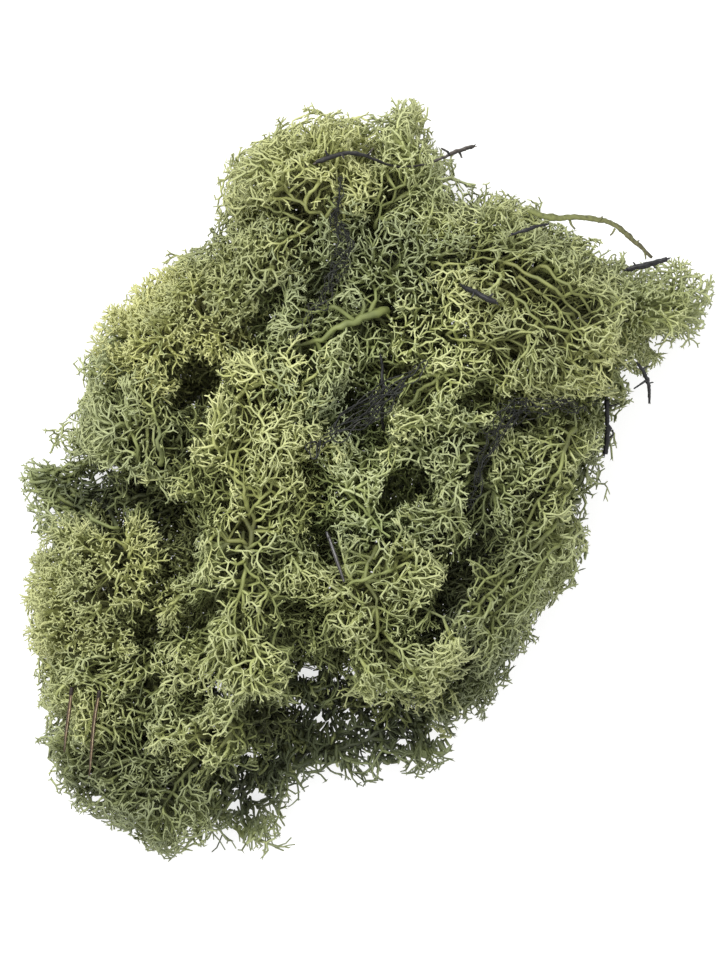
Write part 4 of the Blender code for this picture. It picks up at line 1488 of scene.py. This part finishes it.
for name, run in TWIGS.items():
    batch = Batch()
    needle = name.startswith("needle")
    stem = name == "stem_arm"
    step = 0.55
    line = smooth_path(litter_at(name, run), step)
    line[:, 2] += 0.35
    if name == "twig_crown":
        line[:, 2] -= 4.5 * np.exp(-(((line[:, 0] - 11.5) / 7.0) ** 4))
    r = np.interp(np.linspace(0, len(run) - 1, len(line)), np.arange(len(run)), [p[2] for p in run])
    if not needle:
        wander = np.cumsum(rng.normal(0, 0.10, line.shape), 0)
        wander -= np.linspace(0, 1, len(line))[:, None] * wander[-1]
        line[:, :2] += wander[:, :2] * 0.8
        # knots and old leaf scars
        for _ in range(max(3, len(line) // 7)):
            at = rng.integers(1, len(line) - 1)
            r *= 1 + rng.uniform(0.10, 0.34) * np.exp(-((np.arange(len(line)) - at) ** 2) / rng.uniform(0.6, 2.2))
    batch.pipe(line, r, 8 if needle else 10, 0.03 if needle else 0.06 if stem else 0.10, 0.5,
               (0.16, 0.34) if needle and name != "needle_dark" else (0.0, 1.0))
    if needle:
        # a thin pale pipe along the top of each needle, and its brown sheath at the top
        batch.pipe(line[2:-3] + np.array([0.12, 0, 0.44]), r[2:-3] * 0.40, 5, 0.05, 0.6, (0.42, 0.62))
        batch.pipe(line[:5] + np.array([0, 0, 0.05]), r[:5] * 1.35, 8, 0.08, 0.3, (0.0, 0.06))
    for (x0, y0), (x1, y1), rise, r0 in SHOOTS.get(name, ()):
        a, b = litter_at(name, [(x0, y0)])[0], litter_at(name, [(x1, y1)])[0]
        a[2] += 0.3
        b[2] = a[2] + rise
        half = (a + b) / 2 + rng.normal(0, 0.25, 3)
        q = smooth_path([a, half, b], 0.45)
        batch.pipe(q, np.linspace(r0, r0 * 0.6, len(q)), 7, 0.10, 0.5, (0.3, 0.8))
    if not needle and not stem:
        # splinters at the broken ends
        for end, inner in ((line[0], line[2]), (line[-1], line[-3])):
            away = unit(end - inner)
            for _ in range(4):
                tip = end + away * rng.uniform(0.5, 1.3) + rng.normal(0, 0.22, 3)
                batch.pipe(np.array([end - away * 0.5, (end + tip) / 2, tip]), [0.28, 0.2, 0.08], 4, 0.1, 0.7, (0.7, 1))
    ob, nf = batch.make(("lichen_" if stem else "bark_" if not needle else "") + name)
    ob.data.materials.append(LOOK_OF.get(name, BLACK_TWIG))
    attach(ob, "root")
    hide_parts(name)
    litter_faces += nf

# dead strands: threads of black lichen, beaded with short side hairs, run loosely along one path
# piece: how many threads, shortest and longest run, how far each may turn off the path
# how much it turns at each step, share of side hairs, thickness
THREADS = {"strand_crown": (34, 3, 12, 0.4, 0.34, 0.4, 0.15), "strand_hollow": (46, 5, 13, 0.5, 0.16, 0.16, 0.21),
           "strand_right": (46, 4, 13, 0.6, 0.28, 0.45, 0.15)}
for name, run in STRANDS.items():
    batch = Batch()
    line = smooth_path(litter_at(name, run), 0.6)
    wide_of = np.interp(np.linspace(0, len(run) - 1, len(line)), np.arange(len(run)), [p[2] for p in run])
    ahead = unit(np.gradient(line, axis=0))
    count, shortest, longest, stray, turning, hair, thick = THREADS[name]
    weight = (wide_of + 0.2) / (wide_of + 0.2).sum()
    for th in range(count):
        if th < 4:  # the long ones run most of the way
            i, steps = 2 + 5 * th, int(len(line) * 0.7)
        else:
            i = int(rng.choice(len(line), p=weight))
            steps = int(rng.uniform(shortest, longest) / 0.75)
        w = wide_of[i]
        p = line[i] + rng.normal(0, 1, 3) * np.array([w, w, 0.6]) * 0.42
        p[2] += 0.35
        way = 1 if i < len(line) / 2 else -1
        if rng.random() < 0.25 and th > 3:
            way = -way
        d = unit(ahead[i] * way + rng.normal(0, stray, 3) * np.array([1, 1, 0.4]))
        pts = [p]
        for k in range(steps):
            j = int(np.clip(np.argmin(((line - pts[-1]) ** 2).sum(1)), 0, len(line) - 1))
            home = line[j] + np.array([0, 0, 0.35]) - pts[-1]
            far = np.linalg.norm(home[:2]) / max(wide_of[j] * 0.8, 0.3)
            d = unit(d + rng.normal(0, turning, 3) * np.array([1, 1, 0.6]) + ahead[j] * way * (0.12 if far < 1 else 0.3)
                     + home * 0.14 * max(far - 0.8, 0))
            d[2] = d[2] * 0.7 + 0.10 * home[2]
            pts.append(pts[-1] + d * 0.75)
        if len(pts) < 4:
            continue
        pts = np.array(pts)
        r0 = thick * rng.uniform(0.8, 1.25)
        r = np.linspace(r0, r0 * 0.6, len(pts)) * (1 + 0.28 * rng.standard_normal(len(pts))).clip(0.5, 1.7)
        batch.pipe(pts, r, 4, 0.12, 0.5 + rng.normal(0, 0.12), (0.1, 0.9), 0.5)
        for at in range(1, len(pts) - 1):
            if rng.random() < hair:
                b = pts[at]
                tip = b + unit(rng.normal(0, 1, 3) * np.array([1, 1, 0.6])) * rng.uniform(0.6, 1.7)
                batch.pipe([b, (b + tip) / 2 + rng.normal(0, 0.12, 3), tip], [0.13, 0.11, 0.06], 3, 0.0, 0.5, (0.3, 1.0), 0.5)
    ob, nf = batch.make("dead_" + name)
    ob.data.materials.append(STRAND)
    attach(ob, "root")
    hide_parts(name)
    litter_faces += nf
print("litter faces", litter_faces, round(time.time() - T0, 1))

# ------------------------------------------------------------------ floor, light, camera
scene = bpy.context.scene
scene.view_settings.view_transform = "Standard"
me = bpy.data.meshes.new("floor")
s = 3.0
me.from_pydata([(-s, -s, 0), (s, -s, 0), (s, s, 0), (-s, s, 0)], [], [(0, 1, 2, 3)])
floor = bpy.data.objects.new("floor", me)
scene.collection.objects.link(floor)
mat = bpy.data.materials.new("floor")
mat.use_nodes = True
b = mat.node_tree.nodes["Principled BSDF"]
b.inputs["Base Color"].default_value = (0.34, 0.34, 0.34, 1)
b.inputs["Roughness"].default_value = 0.9
b.inputs["Emission Color"].default_value = (1, 1, 1, 1)
b.inputs["Emission Strength"].default_value = 0.77
me.materials.append(mat)
floor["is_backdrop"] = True

world = bpy.data.worlds.new("studio")
scene.world = world
world.use_nodes = True
world.node_tree.nodes["Background"].inputs[0].default_value = (1, 1, 1, 1)
world.node_tree.nodes["Background"].inputs[1].default_value = 1.05


def area(name, place, target, size, power):
    la = bpy.data.lights.new(name, "AREA")
    la.shape = "DISK"
    la.size = size
    la.energy = power
    ob = bpy.data.objects.new(name, la)
    scene.collection.objects.link(ob)
    ob.location = place
    ob.rotation_euler = (Vector(target) - Vector(place)).to_track_quat("-Z", "Y").to_euler()
    return ob


area("key", (-0.62, 0.78, 1.45), (0, 0, 0.03), 0.75, 32.0)
cam_data = bpy.data.cameras.new("camera")
cam = bpy.data.objects.new("camera", cam_data)
scene.collection.objects.link(cam)
cam.location = (-0.00114, -0.00110, 1.195)
cam.rotation_euler = (0, 0, 0)
cam_data.lens = 155.25
cam_data.sensor_width = 36.0
cam_data.clip_start = 0.05
cam_data.clip_end = 20
scene.camera = cam

vis_low, vis_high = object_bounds()
print("visual box mm", [round((b - a) * 1000, 1) for a, b in zip(vis_low, vis_high)], round(time.time() - T0, 1))
